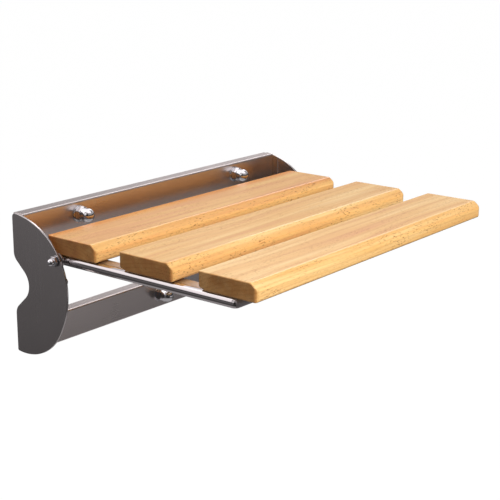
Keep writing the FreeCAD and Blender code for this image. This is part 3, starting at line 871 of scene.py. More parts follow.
def slat_blank(name, depth, drop):
    """The section as a loop of edges, with the rounding of each corner stored beside it."""
    mesh = bpy.data.meshes.new(name)
    # The sweep lays a profile's X out from the wall and its Y downwards
    points = [((depth + u) * MM, (drop + v) * MM, 0) for u, v, rounding in SLAT_SECTION]
    count = len(points)
    mesh.from_pydata(points, [(number, (number + 1) % count) for number in range(count)], [])
    store = mesh.attributes.new("rounding", "FLOAT", "POINT")
    for item, (u, v, rounding) in zip(store.data, SLAT_SECTION):
        item.value = rounding * MM
    return mesh


def round_plan(slat, front):
    """Push the ends in near the front, so that each corner follows a quarter circle."""
    bake_modifiers(slat)
    shape = bmesh.new()
    shape.from_mesh(slat.data)
    for back in SLICES:
        whole = shape.verts[:] + shape.edges[:] + shape.faces[:]
        cut = at(0, front - back, 0)
        bmesh.ops.bisect_plane(shape, geom=whole, plane_co=cut, plane_no=(0, 1, 0))
    for vert in shape.verts:
        behind_front = front + vert.co.y / MM
        into = min(max(PLAN_ROUND - behind_front, 0), PLAN_ROUND)
        push = PLAN_ROUND - math.sqrt(PLAN_ROUND**2 - into**2)
        vert.co.x -= math.copysign(push * MM, vert.co.x)
    shape.to_mesh(slat.data)
    shape.free()


for number, name in enumerate(["rear", "middle", "front"]):
    back, front = span(f"{name}_slat")["depth"]
    slat = new_piece(f"{name}_board", slat_blank(f"{name}_board", back, slat_top))
    length = size(f"{name}_slat", "across") * MM
    run_tree(slat, slat_maker, slat_wood, length=length, board=float(number))
    round_edges(slat, END_ROUNDING, angle=50)
    round_plan(slat, front)
    keep_flats(slat)
    dress(slat, slat_wood, "seat", "slat_wood", f"{name}_slat")

# %% [markdown]
# ## Round and six-sided parts
#
# Nuts, washers, screw heads and studs are all turned on a lathe, some from hexagon bar. One
# helper makes them: a list of rings from bottom to top, each a radius and a height. Either may
# be a function of the angle. A radius that follows a hexagon makes flats, and a height that
# falls where the corners reach out gives the curved chamfer that every real nut has.

# %% A helper for turned parts
TURN_STEPS = 72
OUT_OF_WALL = Matrix.Rotation(math.pi / 2, 4, "X")
INWARDS = {
    "left": Matrix.Rotation(math.pi / 2, 4, "Y"),
    "right": Matrix.Rotation(-math.pi / 2, 4, "Y"),
}


def measure(value, angle):
    return value(angle) if callable(value) else value


def turned_mesh(name, rings, hollow):
    """A closed shape of rings round its own Z axis. A ring of radius 0 is a single point."""
    shape = bmesh.new()
    rows = []
    for radius, height in rings:
        row = []
        for step in range(1 if radius == 0 else TURN_STEPS):
            angle = math.tau * step / TURN_STEPS
            reach = measure(radius, angle)
            spot = (reach * math.cos(angle), reach * math.sin(angle), measure(height, angle))
            row.append(shape.verts.new(spot))
        rows.append(row)
    pairs = list(zip(rows, rows[1:]))
    if hollow:
        pairs.append((rows[-1], rows[0]))
    for low, high in pairs:
        for step in range(TURN_STEPS):
            ring = [low[step % len(low)], low[(step + 1) % len(low)]]
            ring += [high[(step + 1) % len(high)], high[step % len(high)]]
            shape.faces.new(list(dict.fromkeys(ring)))
    return mesh_from(name, shape)


def turned_piece(name, rings, spot, turn, sharp=None, hollow=False):
    """A turned part in its place, with its edges crisp above an angle."""
    mesh = turned_mesh(name, rings, hollow)
    move_mesh(mesh, spot, turn)
    if sharp:
        keep_sharp(mesh, sharp)
    return new_piece(name, mesh)


print("a ring of a turned part has", TURN_STEPS, "points")

# %% Flats, chamfers and rounded edges
CHAMFER_SLOPE = math.radians(30)


def hexagon(flats, corner):
    """The radius of a hexagon at each angle, with its corners rounded a little."""
    def radius(angle):
        away = (angle + math.pi / 6) % (math.pi / 3) - math.pi / 6
        sharp = flats / 2 / math.cos(away)
        return min(sharp, flats / math.sqrt(3) - corner)
    return radius


def chamfer(outline_radius, level, start):
    """A height that falls from level where the outline reaches past start."""
    fall = math.tan(CHAMFER_SLOPE)
    return lambda angle: level - max(outline_radius(angle) - start, 0) * fall


def round_rings(radius, height, rounding, first, last, steps):
    """Rings along an arc about (radius, height), from one angle to another in degrees."""
    rings = []
    for step in range(steps + 1):
        angle = math.radians(first + (last - first) * step / steps)
        rings.append((radius + rounding * math.cos(angle), height + rounding * math.sin(angle)))
    return rings


print("a sharp 17 mm hexagon reaches", round(hexagon(17, 0)(math.pi / 6), 2), "at its corners")

# %% [markdown]
# ## Domed nuts and washers
#
# The domed nuts close off the studs. Each has a blind bore, a washer face, six flats with a
# chamfered top and bottom, a small step, a short neck and a dome that is half a ball. The
# washers are plain rings whose edges were rounded by tumbling before they were plated. A ball
# and a six-sided prism could be joined by a boolean, but then the chamfers and the step would
# be three more cuts, where a list of rings holds them all.

# %% Nuts and washers
NUT_FLATS, NUT_CORNER = 17, 0.25
NUT_HEX, NUT_BORE = 8, 15
DOME, NECK, NECK_HEIGHT = 8.2, 8.25, 0.25
FACE, FACE_ROUND, FACE_STEP = 8.45, 0.4, 0.3
EDGE_IN, EDGE_DOWN = 0.12, 0.15
BORE_LIP = 0.5
STUD = 5
WASHER_ROUNDING = 0.35


def domed_nut(height):
    """A domed nut whose dome ends at the given height, standing on its washer face."""
    flats = hexagon(NUT_FLATS, NUT_CORNER)
    centre = height - DOME
    top = chamfer(flats, NUT_HEX, FACE)
    rings = [(0, NUT_BORE), (STUD, NUT_BORE), (STUD, BORE_LIP), (STUD + BORE_LIP, 0)]
    rings += [(FACE - FACE_ROUND, 0), (FACE, FACE_STEP)]
    rings += [(flats, lambda angle: FACE_STEP + (flats(angle) - FACE) * 0.5)]
    rings += [(flats, lambda angle: top(angle) - EDGE_DOWN)]
    rings += [(lambda angle: flats(angle) - EDGE_IN, top), (FACE, NUT_HEX)]
    rings += [(NECK, NUT_HEX), (DOME, NUT_HEX + NECK_HEIGHT)]
    rings += round_rings(0, centre, DOME, 0, 85, 14)
    return rings + [(0, height)]


def flat_ring(inner, outer, height, rounding):
    """A washer with its four edges rounded."""
    rings = round_rings(outer - rounding, rounding, rounding, -90, 0, 3)
    rings += round_rings(outer - rounding, height - rounding, rounding, 0, 90, 3)
    rings += [(inner + rounding, height), (inner, height - rounding)]
    return rings + [(inner, rounding), (inner + rounding, 0)]


for name in ("left", "right", "bottom"):
    nut_node, washer_node = f"{name}_domed_nut", f"{name}_wall_washer"
    across, drop = middle(washer_node, "across"), middle(washer_node, "drop")
    spot = at(across, span(nut_node)["depth"][0], drop)
    rings = domed_nut(size(nut_node, "depth"))
    nut = turned_piece(f"{name}_nut", rings, spot, OUT_OF_WALL, sharp=28)
    keep_flats(nut)
    dress(nut, nut_chrome, "bracket", "fixing_chrome", nut_node)
    spot = at(across, span(washer_node)["depth"][0], drop)
    radius, thick = size(washer_node, "across") / 2, size(washer_node, "depth")
    rings = flat_ring(STUD_HOLE, radius, thick, WASHER_ROUNDING)
    washer = turned_piece(f"{name}_washer", rings, spot, OUT_OF_WALL, hollow=True)
    dress(washer, nut_chrome, "bracket", "fixing_chrome", washer_node)

# %% [markdown]
# ## Wall studs
#
# Each stud has a thread for the nut in front and a thinner one for a sleeve in the wall. A
# thread follows a path, so it is a job for Geometry Nodes: a spiral, a small profile swept along
# it, and the turned core joined to it. The same tree runs twice on each stud, once for each end,
# with other values for its radius, its pitch, where it starts and how far it runs.

# %% The thread tree
# A rib's radius as a share of the pitch, and how deep it lies in the core as a share of that
RIB, SUNK = 0.42, 0.8


def thread_tree():
    graph, given = new_tree("thread", radius=0.005, pitch=0.001, start=0.0, length=0.01)
    turns = given["Length"] / given["Pitch"]
    rib = given["Pitch"] * RIB
    spiral = graph.node("GeometryNodeCurveSpiral", inputs={
        "Resolution": 28,
        "Rotations": turns,
        "Start Radius": given["Radius"] - rib * SUNK,
        "End Radius": given["Radius"] - rib * SUNK,
        "Height": given["Length"],
    })
    ring = graph.node("GeometryNodeCurvePrimitiveCircle", {"mode": "RADIUS"}, {
        "Resolution": 6,
        "Radius": rib,
    })
    sweep = {"Curve": spiral, "Profile Curve": ring, "Fill Caps": True}
    thread = graph.node("GeometryNodeCurveToMesh", inputs=sweep)
    lift = graph.node("ShaderNodeCombineXYZ", inputs={"Z": given["Start"]})
    moved = graph.node("GeometryNodeTransform", inputs={"Geometry": thread, "Translation": lift})
    both = graph.node("GeometryNodeJoinGeometry", inputs={0: given["Geometry"]})
    graph.feed(both.socket.node.inputs[0], moved)
    return close_tree(graph, both, given)


stud_thread = thread_tree()

# %% The studs
WALL_END, WALL_ROOT, WALL_PITCH = 4, 3.4, 1.25
NUT_ROOT, NUT_PITCH = 4.3, 1.5
THREAD_PLAY = 0.05
POINT = 0.6


def stud_rings(low, high):
    """A stud's core from its wall end to its end in the nut, with a step at the wall plane."""
    rings = [(0, low), (WALL_ROOT - POINT, low), (WALL_ROOT, low + POINT)]
    rings += [(WALL_ROOT, -1), (WALL_END, -0.4), (WALL_END, 0)]
    rings += [(NUT_ROOT, 1), (NUT_ROOT, high - 0.7)]
    return rings + [(NUT_ROOT - POINT, high), (0, high)]


def cut_thread(stud, radius, pitch, start, end):
    """A thread on a stud between two distances from the wall, in millimetres."""
    sizes = {"radius": radius - THREAD_PLAY, "pitch": pitch, "start": start, "length": end - start}
    run_tree(stud, stud_thread, zinc_steel, **{name: value * MM for name, value in sizes.items()})


for name in ("left", "right", "bottom"):
    node = f"{name}_wall_stud"
    low, high = span(node)["depth"]
    stud = turned_piece(f"{name}_stud", stud_rings(low, high), Vector(), Matrix())
    cut_thread(stud, WALL_END, WALL_PITCH, low + 1, -1.5)
    cut_thread(stud, STUD, NUT_PITCH, 1.8, high - 1.4)
    spot = at(middle(node, "across"), 0, middle(node, "drop"))
    stud.data.transform(Matrix.Translation(spot) @ OUT_OF_WALL)
    keep_sharp(stud.data, 40)
    dress(stud, zinc_steel, "bracket", "zinc_steel", node)

# %% [markdown]
# ## The frame of round bar
#
# The arms and the front bar are 12 mm bar, cut at 45 degrees, welded at the corners and ground
# until the outer side is blunt. Neither the mitre nor the blunting needs a boolean. Each point of
# a ring follows its own path round the corner: straight, an eighth of a circle, and it is on the
# diagonal plane where the two bars meet. The circle's radius is nothing on the inner side and
# largest on the outer side. A small turned-down step at the last ring leaves a fine seam.

# %% Rings of the bars
BAR_STEPS = 48
BLUNTING = 7
front_depth = middle("front_cross_bar", "depth")


def bar_mesh(name, stations):
    """A round bar through stations, each a function of the ring's angle that gives a point."""
    shape = bmesh.new()
    angles = [math.tau * step / BAR_STEPS for step in range(BAR_STEPS)]
    rows = [[shape.verts.new(station(angle)) for angle in angles] for station in stations]
    for low, high in zip(rows, rows[1:]):
        for step in range(BAR_STEPS):
            after = (step + 1) % BAR_STEPS
            shape.faces.new((low[step], low[after], high[after], high[step]))
    shape.faces.new(rows[0])
    shape.faces.new(rows[-1])
    return mesh_from(name, shape)


def section_spot(angle, shrink):
    """A point of the bar's section as (out, rise), on a radius that is smaller by shrink."""
    radius = bar_radius - shrink
    return radius * math.cos(angle), radius * math.sin(angle)


def arm_station(depth, sign, shrink):
    """A plain ring of an arm at a depth from the wall."""
    def spot(angle):
        out, rise = section_spot(angle, shrink)
        return at((arm_across + out) * sign, depth, arm_drop - rise)
    return spot


def corner_station(sign, turned, along_arm, shrink=0.0):
    """A ring of the corner after a turn in degrees, on the arm's side or the front bar's."""
    def spot(angle):
        out, rise = section_spot(angle, shrink)
        rounding = BLUNTING * (out + bar_radius) / (2 * bar_radius)
        far = out - rounding + rounding * math.cos(math.radians(turned))
        near = out - rounding + rounding * math.sin(math.radians(turned))
        across, depth = (far, near) if along_arm else (near, far)
        return at((arm_across + across) * sign, front_depth + depth, arm_drop - rise)
    return spot


print("a bar's ring has", BAR_STEPS, "points")

# %% The bars
SEAM = 0.12
CORNER_TURNS = (-4, 9, 18, 27, 36, 43)
# Rings of an arm's rounded end: how far along the arm, and how much smaller than the bar
ARM_END = ((0, 0.8), (0.25, 0.25), (0.8, 0))
arm_start = span("right_arm")["depth"][0]


def corner_rings(sign, along_arm):
    """The rings from the start of the corner to the seam."""
    rings = [corner_station(sign, turned, along_arm) for turned in CORNER_TURNS]
    return rings + [corner_station(sign, 45, along_arm, SEAM)]


for side, sign in SIDES.items():
    stations = [arm_station(arm_start + along, sign, shrink) for along, shrink in ARM_END]
    stations += corner_rings(sign, True)
    arm = new_piece(f"{side}_arm_bar", bar_mesh(f"{side}_arm_bar", stations))
    keep_sharp(arm.data, 50)
    dress(arm, bar_steel, "seat", "bar_steel", f"{side}_arm")

stations = list(reversed(corner_rings(-1, False))) + corner_rings(1, False)
front_bar = new_piece("front_round_bar", bar_mesh("front_round_bar", stations))
keep_sharp(front_bar.data, 50)
dress(front_bar, front_bar_steel, "seat", "bar_steel", "front_cross_bar")

# %% [markdown]
# ## Strips, cams and stops
#
# Under the slats a flat strip is welded to each arm and carries the screws. Beside each pivot a
# cam of flat plate meets one of two studs in the side plate, which is what stops the seat when
# it is down and when it is folded. The strip's edge is hollowed to sit against the round arm.
# The cam is one more sheet part, and the stops are turned.

# %% Strips
STRIP_THICK = 3
STRIP_EDGE = 0.3
HOLLOW_STEPS = 8
THIN_END = 0.8


def strip_section(sign):
    """The strip's section as (across, drop), hollowed where it meets the arm."""
    inner = span("right_slat_strip")["across"][0]
    top, low = slat_under, slat_under + STRIP_THICK
    contact = math.acos((bar_radius - STRIP_THICK) / bar_radius)
    points = [(inner + STRIP_EDGE, top), (inner, top + STRIP_EDGE)]
    points += [(inner, low - STRIP_EDGE), (inner + STRIP_EDGE, low)]
    for step in range(HOLLOW_STEPS + 1):
        angle = contact * (1 - step / HOLLOW_STEPS)
        out = arm_across - bar_radius * math.sin(angle)
        if out < arm_across - THIN_END:
            points.append((out, arm_drop - bar_radius * math.cos(angle)))
    return [(across * sign, drop) for across, drop in points]


for side, sign in SIDES.items():
    node = f"{side}_slat_strip"
    shape = bmesh.new()
    section = strip_section(sign)
    prism(shape, *([at(x, depth, drop) for x, drop in section] for depth in span(node)["depth"]))
    strip = new_piece(f"{side}_strip", mesh_from(f"{side}_strip", shape))
    keep_sharp(strip.data, 35)
    dress(strip, plain_steel, "seat", "plain_steel", node)

# %% Cams and stops
CAM_RADIUS = 9
TAIL_REACH, TAIL_HALF, TAIL_CORNER = 27, 6, 3
CAM_RIM, STOP_RIM = 0.3, 0.5
THREAD = 3


def cam_outline():
    join = math.sqrt(CAM_RADIUS**2 - TAIL_HALF**2)
    flat = TAIL_REACH - TAIL_CORNER
    corners = [
        (join, TAIL_HALF), (-join, TAIL_HALF), (-join, -TAIL_HALF), (join, -TAIL_HALF),
        (flat, -TAIL_HALF), (TAIL_REACH, TAIL_CORNER - TAIL_HALF),
        (TAIL_REACH, TAIL_HALF - TAIL_CORNER), (flat, TAIL_HALF),
    ]
    arcs = {number: (CAM_RADIUS, 1) for number in (0, 1, 2)}
    arcs.update({number: (TAIL_CORNER, 1) for number in (4, 6)})
    return outline(corners, arcs)


for side, sign in SIDES.items():
    node = f"{side}_stop_cam"
    loops = [cam_outline(), circle_points(0, 0, THREAD)]
    mesh = sheet_mesh(f"{side}_cam", loops, size(node, "across"), CAM_RIM)
    move_mesh(mesh, at(middle(node, "across"), pivot_depth, arm_drop), SHEET_TURN)
    cam = new_piece(f"{side}_cam", mesh)
    keep_flats(cam)
    dress(cam, plain_steel, "seat", "plain_steel", node)
    for name in ("rest", "fold"):
        node = f"{side}_{name}_stop"
        length, radius = size(node, "across"), size(node, "depth") / 2
        rings = [(0, 0), (radius, 0)]
        rings += round_rings(radius - STOP_RIM, length - STOP_RIM, STOP_RIM, 0, 90, 3)
        rings += [(0, length)]
        spot = at(plate_inner * sign, middle(node, "depth"), middle(node, "drop"))
        stop = turned_piece(f"{side}_{name}_stud", rings, spot, INWARDS[side], sharp=40)
        dress(stop, plain_steel, "bracket", "plain_steel", node)

# %% [markdown]
# ## Pivots
#
# A shoulder screw passes through a flanged nylon bush in the plate, a thrust ring, the cam and
# the arm, and a nut holds it inside. The screw's head, a low hexagon with a small dome on it, is
# the only bright spot on the outside of the plate. It is turned like the wall nuts, only the
# other way round, because it points away from the plate.

# %% Pivots
HEAD_FLATS, HEAD_HEX, HEAD_DOME = 11, 3, 4.2
HEAD_GAP, HEAD_STEP = 0.2, 0.2
HEX_CORNER = 0.15
SHOULDER, SHOULDER_LENGTH = 3.5, 4.1
THREAD_POINT = 0.5
LOCK_FLATS, LOCK_FACE, LOCK_LIP = 10, 4.9, 0.3


def outwards(node):
    """How far a solid's near and far ends are from the seat's middle."""
    return sorted(abs(edge) for edge in span(node)["across"])


def pivot_screw_rings(head, length):
    """The screw along its axis, from the top of its dome to the thread's end."""
    flats = hexagon(HEAD_FLATS, HEX_CORNER)
    face = HEAD_FLATS / 2 - HEX_CORNER
    top = chamfer(flats, HEAD_HEX, face)
    rings = [(0, -head)] + round_rings(0, HEAD_DOME - head, HEAD_DOME, -85, 0, 10)
    rings += [(HEAD_DOME, -HEAD_HEX - HEAD_STEP), (HEAD_DOME + 0.05, -HEAD_HEX)]
    rings += [(face, -HEAD_HEX), (flats, lambda angle: -top(angle))]
    rings += [(flats, lambda angle: top(angle) - HEAD_HEX), (face, 0), (SHOULDER, 0)]
    rings += [(SHOULDER, SHOULDER_LENGTH), (THREAD, SHOULDER_LENGTH)]
    return rings + [(THREAD, length - THREAD_POINT), (THREAD - THREAD_POINT, length), (0, length)]


def lock_nut_rings(height):
    """A plain nut with both faces chamfered and a round bore."""
    flats = hexagon(LOCK_FLATS, HEX_CORNER)
    top = chamfer(flats, height, LOCK_FACE)
    rings = [(THREAD, LOCK_LIP), (THREAD + LOCK_LIP, 0), (LOCK_FACE, 0)]
    rings += [(flats, lambda angle: height - top(angle)), (flats, top), (LOCK_FACE, height)]
    return rings + [(THREAD + LOCK_LIP, height), (THREAD, height - LOCK_LIP)]


for side, sign in SIDES.items():
    screw_node, nut_node = f"{side}_pivot_screw", f"{side}_pivot_nut"
    inner, outer = outwards(screw_node)
    head_foot = outwards(f"{side}_pivot_bush")[1] + HEAD_GAP
    rings = pivot_screw_rings(outer - head_foot, head_foot - inner)
    spot = at(head_foot * sign, pivot_depth, arm_drop)
    screw = turned_piece(f"{side}_shoulder_screw", rings, spot, INWARDS[side], sharp=32)
    dress(screw, nut_chrome, "seat", "fixing_chrome", screw_node)
    low, high = outwards(nut_node)
    rings = lock_nut_rings(high - low)
    spot = at(high * sign, pivot_depth, arm_drop)
    nut = turned_piece(f"{side}_lock_nut", rings, spot, INWARDS[side], sharp=32, hollow=True)
    dress(nut, zinc_steel, "seat", "zinc_steel", nut_node)

# %% The bushes and thrust rings keep their solids
for side in SIDES:
    for part in ("pivot_bush", "thrust_ring"):
        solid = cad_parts[f"{side}_{part}"]
        solid.data.materials.clear()
        solid.data.materials.append(nylon)
print("the nylon parts keep their solids")

# %% [markdown]
# ## Slat screws
#
# Four pan-head screws hold each slat from below. They are one screw, repeated, so the mesh of
# the screw is made once and a small tree stands it on the corners of a rectangle. The tree's
# inputs are that rectangle's two sides and its centre, read from the box of each solid group.

# %% The screw tree
def screw_tree():
    graph, given = new_tree("slat_screws", width=0.4, length=0.03, centre=Vector((0, 0, 0)))
    corners = graph.node("GeometryNodeMeshGrid", inputs={
        "Size X": given["Width"],
        "Size Y": given["Length"],
        "Vertices X": 2,
        "Vertices Y": 2,
    })
    placed = graph.node("GeometryNodeTransform", inputs={
        "Geometry": corners,
        "Translation": given["Centre"],
    })
    stand = {"Points": placed, "Instance": given["Geometry"]}
    screws = graph.node("GeometryNodeInstanceOnPoints", inputs=stand)
    return close_tree(graph, screws, given)


screw_maker = screw_tree()

# %% The screws
SCREW_SHANK, SCREW_POINT = 2, 1.5
SCREW_HEAD, SCREW_HEAD_HEIGHT = 3.9, 2.4
SCREW_FACE, SCREW_ROUND = 2.6, 1.2
CROSS_REACH, CROSS_HALF, CROSS_DEPTH, CROSS_FLOOR = 2.1, 0.45, 1.3, 0.7
CROSS_LIP = 0.05


def cross_recess(angle):
    """The radius of a cross recess: four arms of equal width."""
    away = (angle + math.pi / 4) % (math.pi / 2) - math.pi / 4
    return min(CROSS_REACH, CROSS_HALF / max(abs(math.sin(away)), 1e-6))


def slat_screw_rings(length):
    """A pan-head screw with its head down, from the recess over the head to the point."""
    rings = [(0, CROSS_DEPTH), (lambda angle: cross_recess(angle) * CROSS_FLOOR, CROSS_DEPTH)]
    rings += [(cross_recess, CROSS_LIP), (SCREW_FACE, 0)]
    rings += round_rings(SCREW_HEAD - SCREW_ROUND, SCREW_ROUND, SCREW_ROUND, -90, 0, 4)
    rings += [(SCREW_HEAD, SCREW_HEAD_HEIGHT), (SCREW_SHANK, SCREW_HEAD_HEIGHT)]
    return rings + [(SCREW_SHANK, length - SCREW_POINT), (0, length)]


for name in ("rear", "middle", "front"):
    node = f"{name}_slat_screws"
    rings = slat_screw_rings(size(node, "drop"))
    screws = turned_piece(f"{name}_pan_screws", rings, Vector(), Matrix())
    width, length = ((size(node, axis) - 2 * SCREW_HEAD) * MM for axis in ("across", "depth"))
    centre = at(0, middle(node, "depth"), span(node)["drop"][1])
    run_tree(screws, screw_maker, zinc_steel, width=width, length=length, centre=centre)
    keep_sharp(screws.data, 35)
    dress(screws, zinc_steel, "seat", "zinc_steel", node)

# %% [markdown]
# ## Weld beads
#
# The rails' end tabs are welded to the plates along their front edges, and each strip has three
# short welds on its arm. A bead follows a path and has even ripples, so the tree takes lines of
# edges, lays points along them, swells the radius in waves and sweeps a circle. The upright bead
# in the right-hand corner is what glints between the top rail and its plate.

# %% The bead tree
SWELL = 0.12


def bead_tree():
    graph, given = new_tree("weld_bead", radius=0.001, ripple=0.0012)
    path = graph.node("GeometryNodeMeshToCurve", inputs={"Mesh": given["Geometry"]})
    fine = {"Curve": path, "Length": given["Ripple"] / 4}
    path = graph.node("GeometryNodeResampleCurve", {"mode": "LENGTH"}, fine)
    travelled = graph.node("GeometryNodeSplineParameter", output="Length")
    wave = travelled.maths("SINE", travelled / given["Ripple"] * math.tau)
    swollen = {"Curve": path, "Radius": given["Radius"] * (1.0 + wave * SWELL)}
    path = graph.node("GeometryNodeSetCurveRadius", inputs=swollen)
    ring = graph.node("GeometryNodeCurvePrimitiveCircle", {"mode": "RADIUS"}, {
        "Resolution": 8,
        "Radius": 1.0,
    })
    swell = graph.node("GeometryNodeInputRadius")
    sweep = {"Curve": path, "Profile Curve": ring, "Scale": swell, "Fill Caps": True}
    return close_tree(graph, graph.node("GeometryNodeCurveToMesh", inputs=sweep), given)


bead_maker = bead_tree()

# %% The beads
BEAD, RIPPLE = 0.9, 1.4
BESIDE = 0.1
TAB_WELD_MARGIN = TAB_MARGIN + 1
STRIP_WELD = 18
STRIP_WELD_STARTS = (96, 196, 284)


def bead_path(name, lines):
    """Edges through one or more lines of points, in metres."""
    mesh = bpy.data.meshes.new(name)
    points, edges = [], []
    for line in lines:
        first = len(points)
        points += [tuple(spot) for spot in line]
        edges += [(number, number + 1) for number in range(first, len(points) - 1)]
    mesh.from_pydata(points, edges, [])
    return mesh


def tab_bead(node, sign):
    """Down the front edge of an end tab, in its corner with the plate."""
    box = span(node)
    top, bottom = box["drop"]
    across, depth = (plate_inner - BESIDE) * sign, box["depth"][1] + BESIDE
    return [at(across, depth, drop) for drop in (top + TAB_WELD_MARGIN, bottom - TAB_WELD_MARGIN)]


def strip_bead(start, sign):
    """Along the underside of a strip, in its corner with the arm."""
    across = arm_across - math.sqrt(bar_radius**2 - (bar_radius - STRIP_THICK) ** 2)
    drop = slat_under + STRIP_THICK
    return [at(across * sign, depth, drop) for depth in (start, start + STRIP_WELD)]


signs = list(SIDES.values())
rail_lines = [tab_bead(node, sign) for node in ("top_rail", "bottom_rail") for sign in signs]
strip_lines = [strip_bead(start, sign) for start in STRIP_WELD_STARTS for sign in signs]
welds = {"bracket": (rail_lines, "bracket_steel"), "seat": (strip_lines, "plain_steel")}
for body, (lines, slot) in welds.items():
    beads = new_piece(f"{body}_welds", bead_path(f"{body}_welds", lines))
    run_tree(beads, bead_maker, plate_steel, radius=BEAD * MM, ripple=RIPPLE * MM)
    dress(beads, plate_steel, body, slot)

# %% [markdown]
# ## The studio
#
# The seat hangs on a wall that isn't part of it, so it floats above a plain pale floor. The
# floor and the world are white to the camera and to mirrors, and weaker for everything else, so
# that the background is white without flooding the seat with light. One large soft lamp
# stands in front and a little above, a weaker one behind. Polished metal in an all-white
# room would look like paper, so a photographer surrounds it with dark cloth and a few white
# cards. Here a dome and a sheet over the floor do that. Only reflections see them.

# %% The world
def seen_directly(graph):
    """1 for rays that come from the camera or off a mirror or through glass."""
    rays = graph.node("ShaderNodeLightPath").socket.node.outputs
    names = ("Is Camera Ray", "Is Glossy Ray", "Is Transmission Ray")
    total = sum((Signal(graph, rays[name]) for name in names), 0.0)
    return total.maths("MINIMUM", total, 1.0)


FILL_LIGHT = 0.19
world = bpy.data.worlds.new("studio")
world.use_nodes = True
world.node_tree.nodes.clear()
sky = Graph(world.node_tree)
level = FILL_LIGHT + seen_directly(sky) * (1 - FILL_LIGHT)
backdrop = sky.node("ShaderNodeBackground", inputs={"Color": (1, 1, 1), "Strength": level})
sky.node("ShaderNodeOutputWorld", inputs={"Surface": backdrop})
bpy.context.scene.world = world
print("the world is white to the camera and", FILL_LIGHT, "to the seat")

# %% The floor
FLOOR_DROP, FLOOR_HALF = 0.62, 14
FLOOR_PAINT = (0.16, 0.155, 0.15)
FLOOR_GLOW, GLOW_SHARE = 1.225, 0.81


def level_sheet(name, half, drop):
    """A square sheet that lies level, some way below the bracket's top edge, in metres."""
    shape = bmesh.new()
    bmesh.ops.create_grid(shape, x_segments=1, y_segments=1, size=half)
    mesh = mesh_from(name, shape)
    mesh.transform(Matrix.Translation((0, 0, -drop)))
    return mesh


floor = new_piece("floor", level_sheet("floor", FLOOR_HALF, FLOOR_DROP))
floor_paint, graph = new_finish("pale_floor")
matt = graph.node("ShaderNodeBsdfDiffuse", inputs={"Color": FLOOR_PAINT})
plain = graph.node("ShaderNodeEmission", inputs={"Color": (1, 1, 1), "Strength": FLOOR_GLOW})
mixed = {0: seen_directly(graph) * GLOW_SHARE, 1: matt, 2: plain}
mixed = graph.node("ShaderNodeMixShader", inputs=mixed)
graph.node("ShaderNodeOutputMaterial", inputs={"Surface": mixed})
floor.data.materials.append(floor_paint)
print("the floor lies", FLOOR_DROP, "m below the bracket's top edge")

# %% The lamps
AIM = Vector((0, -0.17, -0.05))


def soft_lamp(name, spot, sides, power):
    """A square-cornered soft lamp that looks at the seat and leaves no mirror image."""
    lamp = bpy.data.lights.new(name, "AREA")
    lamp.shape = "RECTANGLE"
    lamp.size, lamp.size_y = sides
    lamp.energy = power
    holder = bpy.data.objects.new(name, lamp)
    turn = (AIM - Vector(spot)).to_track_quat("-Z", "Y")
    holder.matrix_world = Matrix.Translation(spot) @ turn.to_matrix().to_4x4()
    holder.visible_glossy = False
    bpy.context.scene.collection.objects.link(holder)
    print(name, "gives", power, "W")


soft_lamp("key_lamp", (-0.3, -1.78, 0.86), (1.0, 0.9), 43)
soft_lamp("back_lamp", (0.0, 1.45, 1.25), (0.9, 0.6), 30)

# %% [markdown]
# ## Cards for the mirrors
#
# The dome is dark at the horizon, with a large card overhead that leans to the right. A tall
# card at the back on the left draws the white line along the round bar. A strip at the back on
# the right, a low box behind the seat and a small window on the left light the slats' varnish,
# the top of the rail and the domed nuts. Below them, a sheet just over the floor is what the
# plates and the lower rail mirror, so it stays dark near the seat. Each card could be a lamp of
# its own, but a dome holds them all in one material, where the edges are as soft as one likes.

# %% Surfaces that only reflections see
CARD = (1.0, 0.955, 0.965)


def for_reflections(name, mesh, make_level):
    """A glowing surface that only reflections see. make_level turns its graph into a level."""
    card = new_piece(name, mesh)
    material, graph = new_finish(name)
    light = graph.node("ShaderNodeEmission", inputs={"Color": make_level(graph) * CARD})
    graph.node("ShaderNodeOutputMaterial", inputs={"Surface": light})
    mesh.materials.append(material)
    card.visible_camera = False
    card.visible_diffuse = False
    card.visible_shadow = False
    card.visible_transmission = False
    print(name, "has a material of", len(material.node_tree.nodes), "nodes")


def band(value, rise, fall):
    """1 between two soft edges, each given by where it starts and where it ends."""
    return value.between(*rise) * (1.0 - value.between(*fall))


print("a card's colour is", CARD)

# %% The dome
DOME_SIZE = 5.0
TILT = 0.36
# How high a place on the dome is, from 0 at its foot to 1 at its top, and its brightness
DOME_RISE = (
    (0.35, 0.09), (0.5, 0.12), (0.65, 0.28), (0.73, 0.3), (0.79, 0.42), (0.825, 1.15), (0.9, 1.4),
)
BRIGHTEST = DOME_RISE[-1][1]
# How bright each of the smaller cards is
LEFT_CARD, RIGHT_STRIP, SMALL_WINDOW, LOW_BOX, RAIL_CARD = 1.4, 3.0, 0.8, 0.2, 0.56


def overhead_card(graph, across, back, up):
    """The card overhead, cut away on the right and in front."""
    stops = [(place, (shade / BRIGHTEST,) * 3) for place, shade in DOME_RISE]
    height = (up + across * TILT) * 0.5 + 0.5
    rise = graph.node("ShaderNodeValToRGB", {"stops": stops}, {"Fac": height})
    rise = graph.node("ShaderNodeRGBToBW", inputs={"Color": rise})
    right = across.between(0.35, 0.6) * up.between(0.3, 0.45)
    front = (back * -1.0).between(-0.1, 0.3) * (1.0 - up.between(0.4, 0.7))
    return rise * BRIGHTEST * (1.0 - right * 0.75) * (1.0 - front * 0.8)


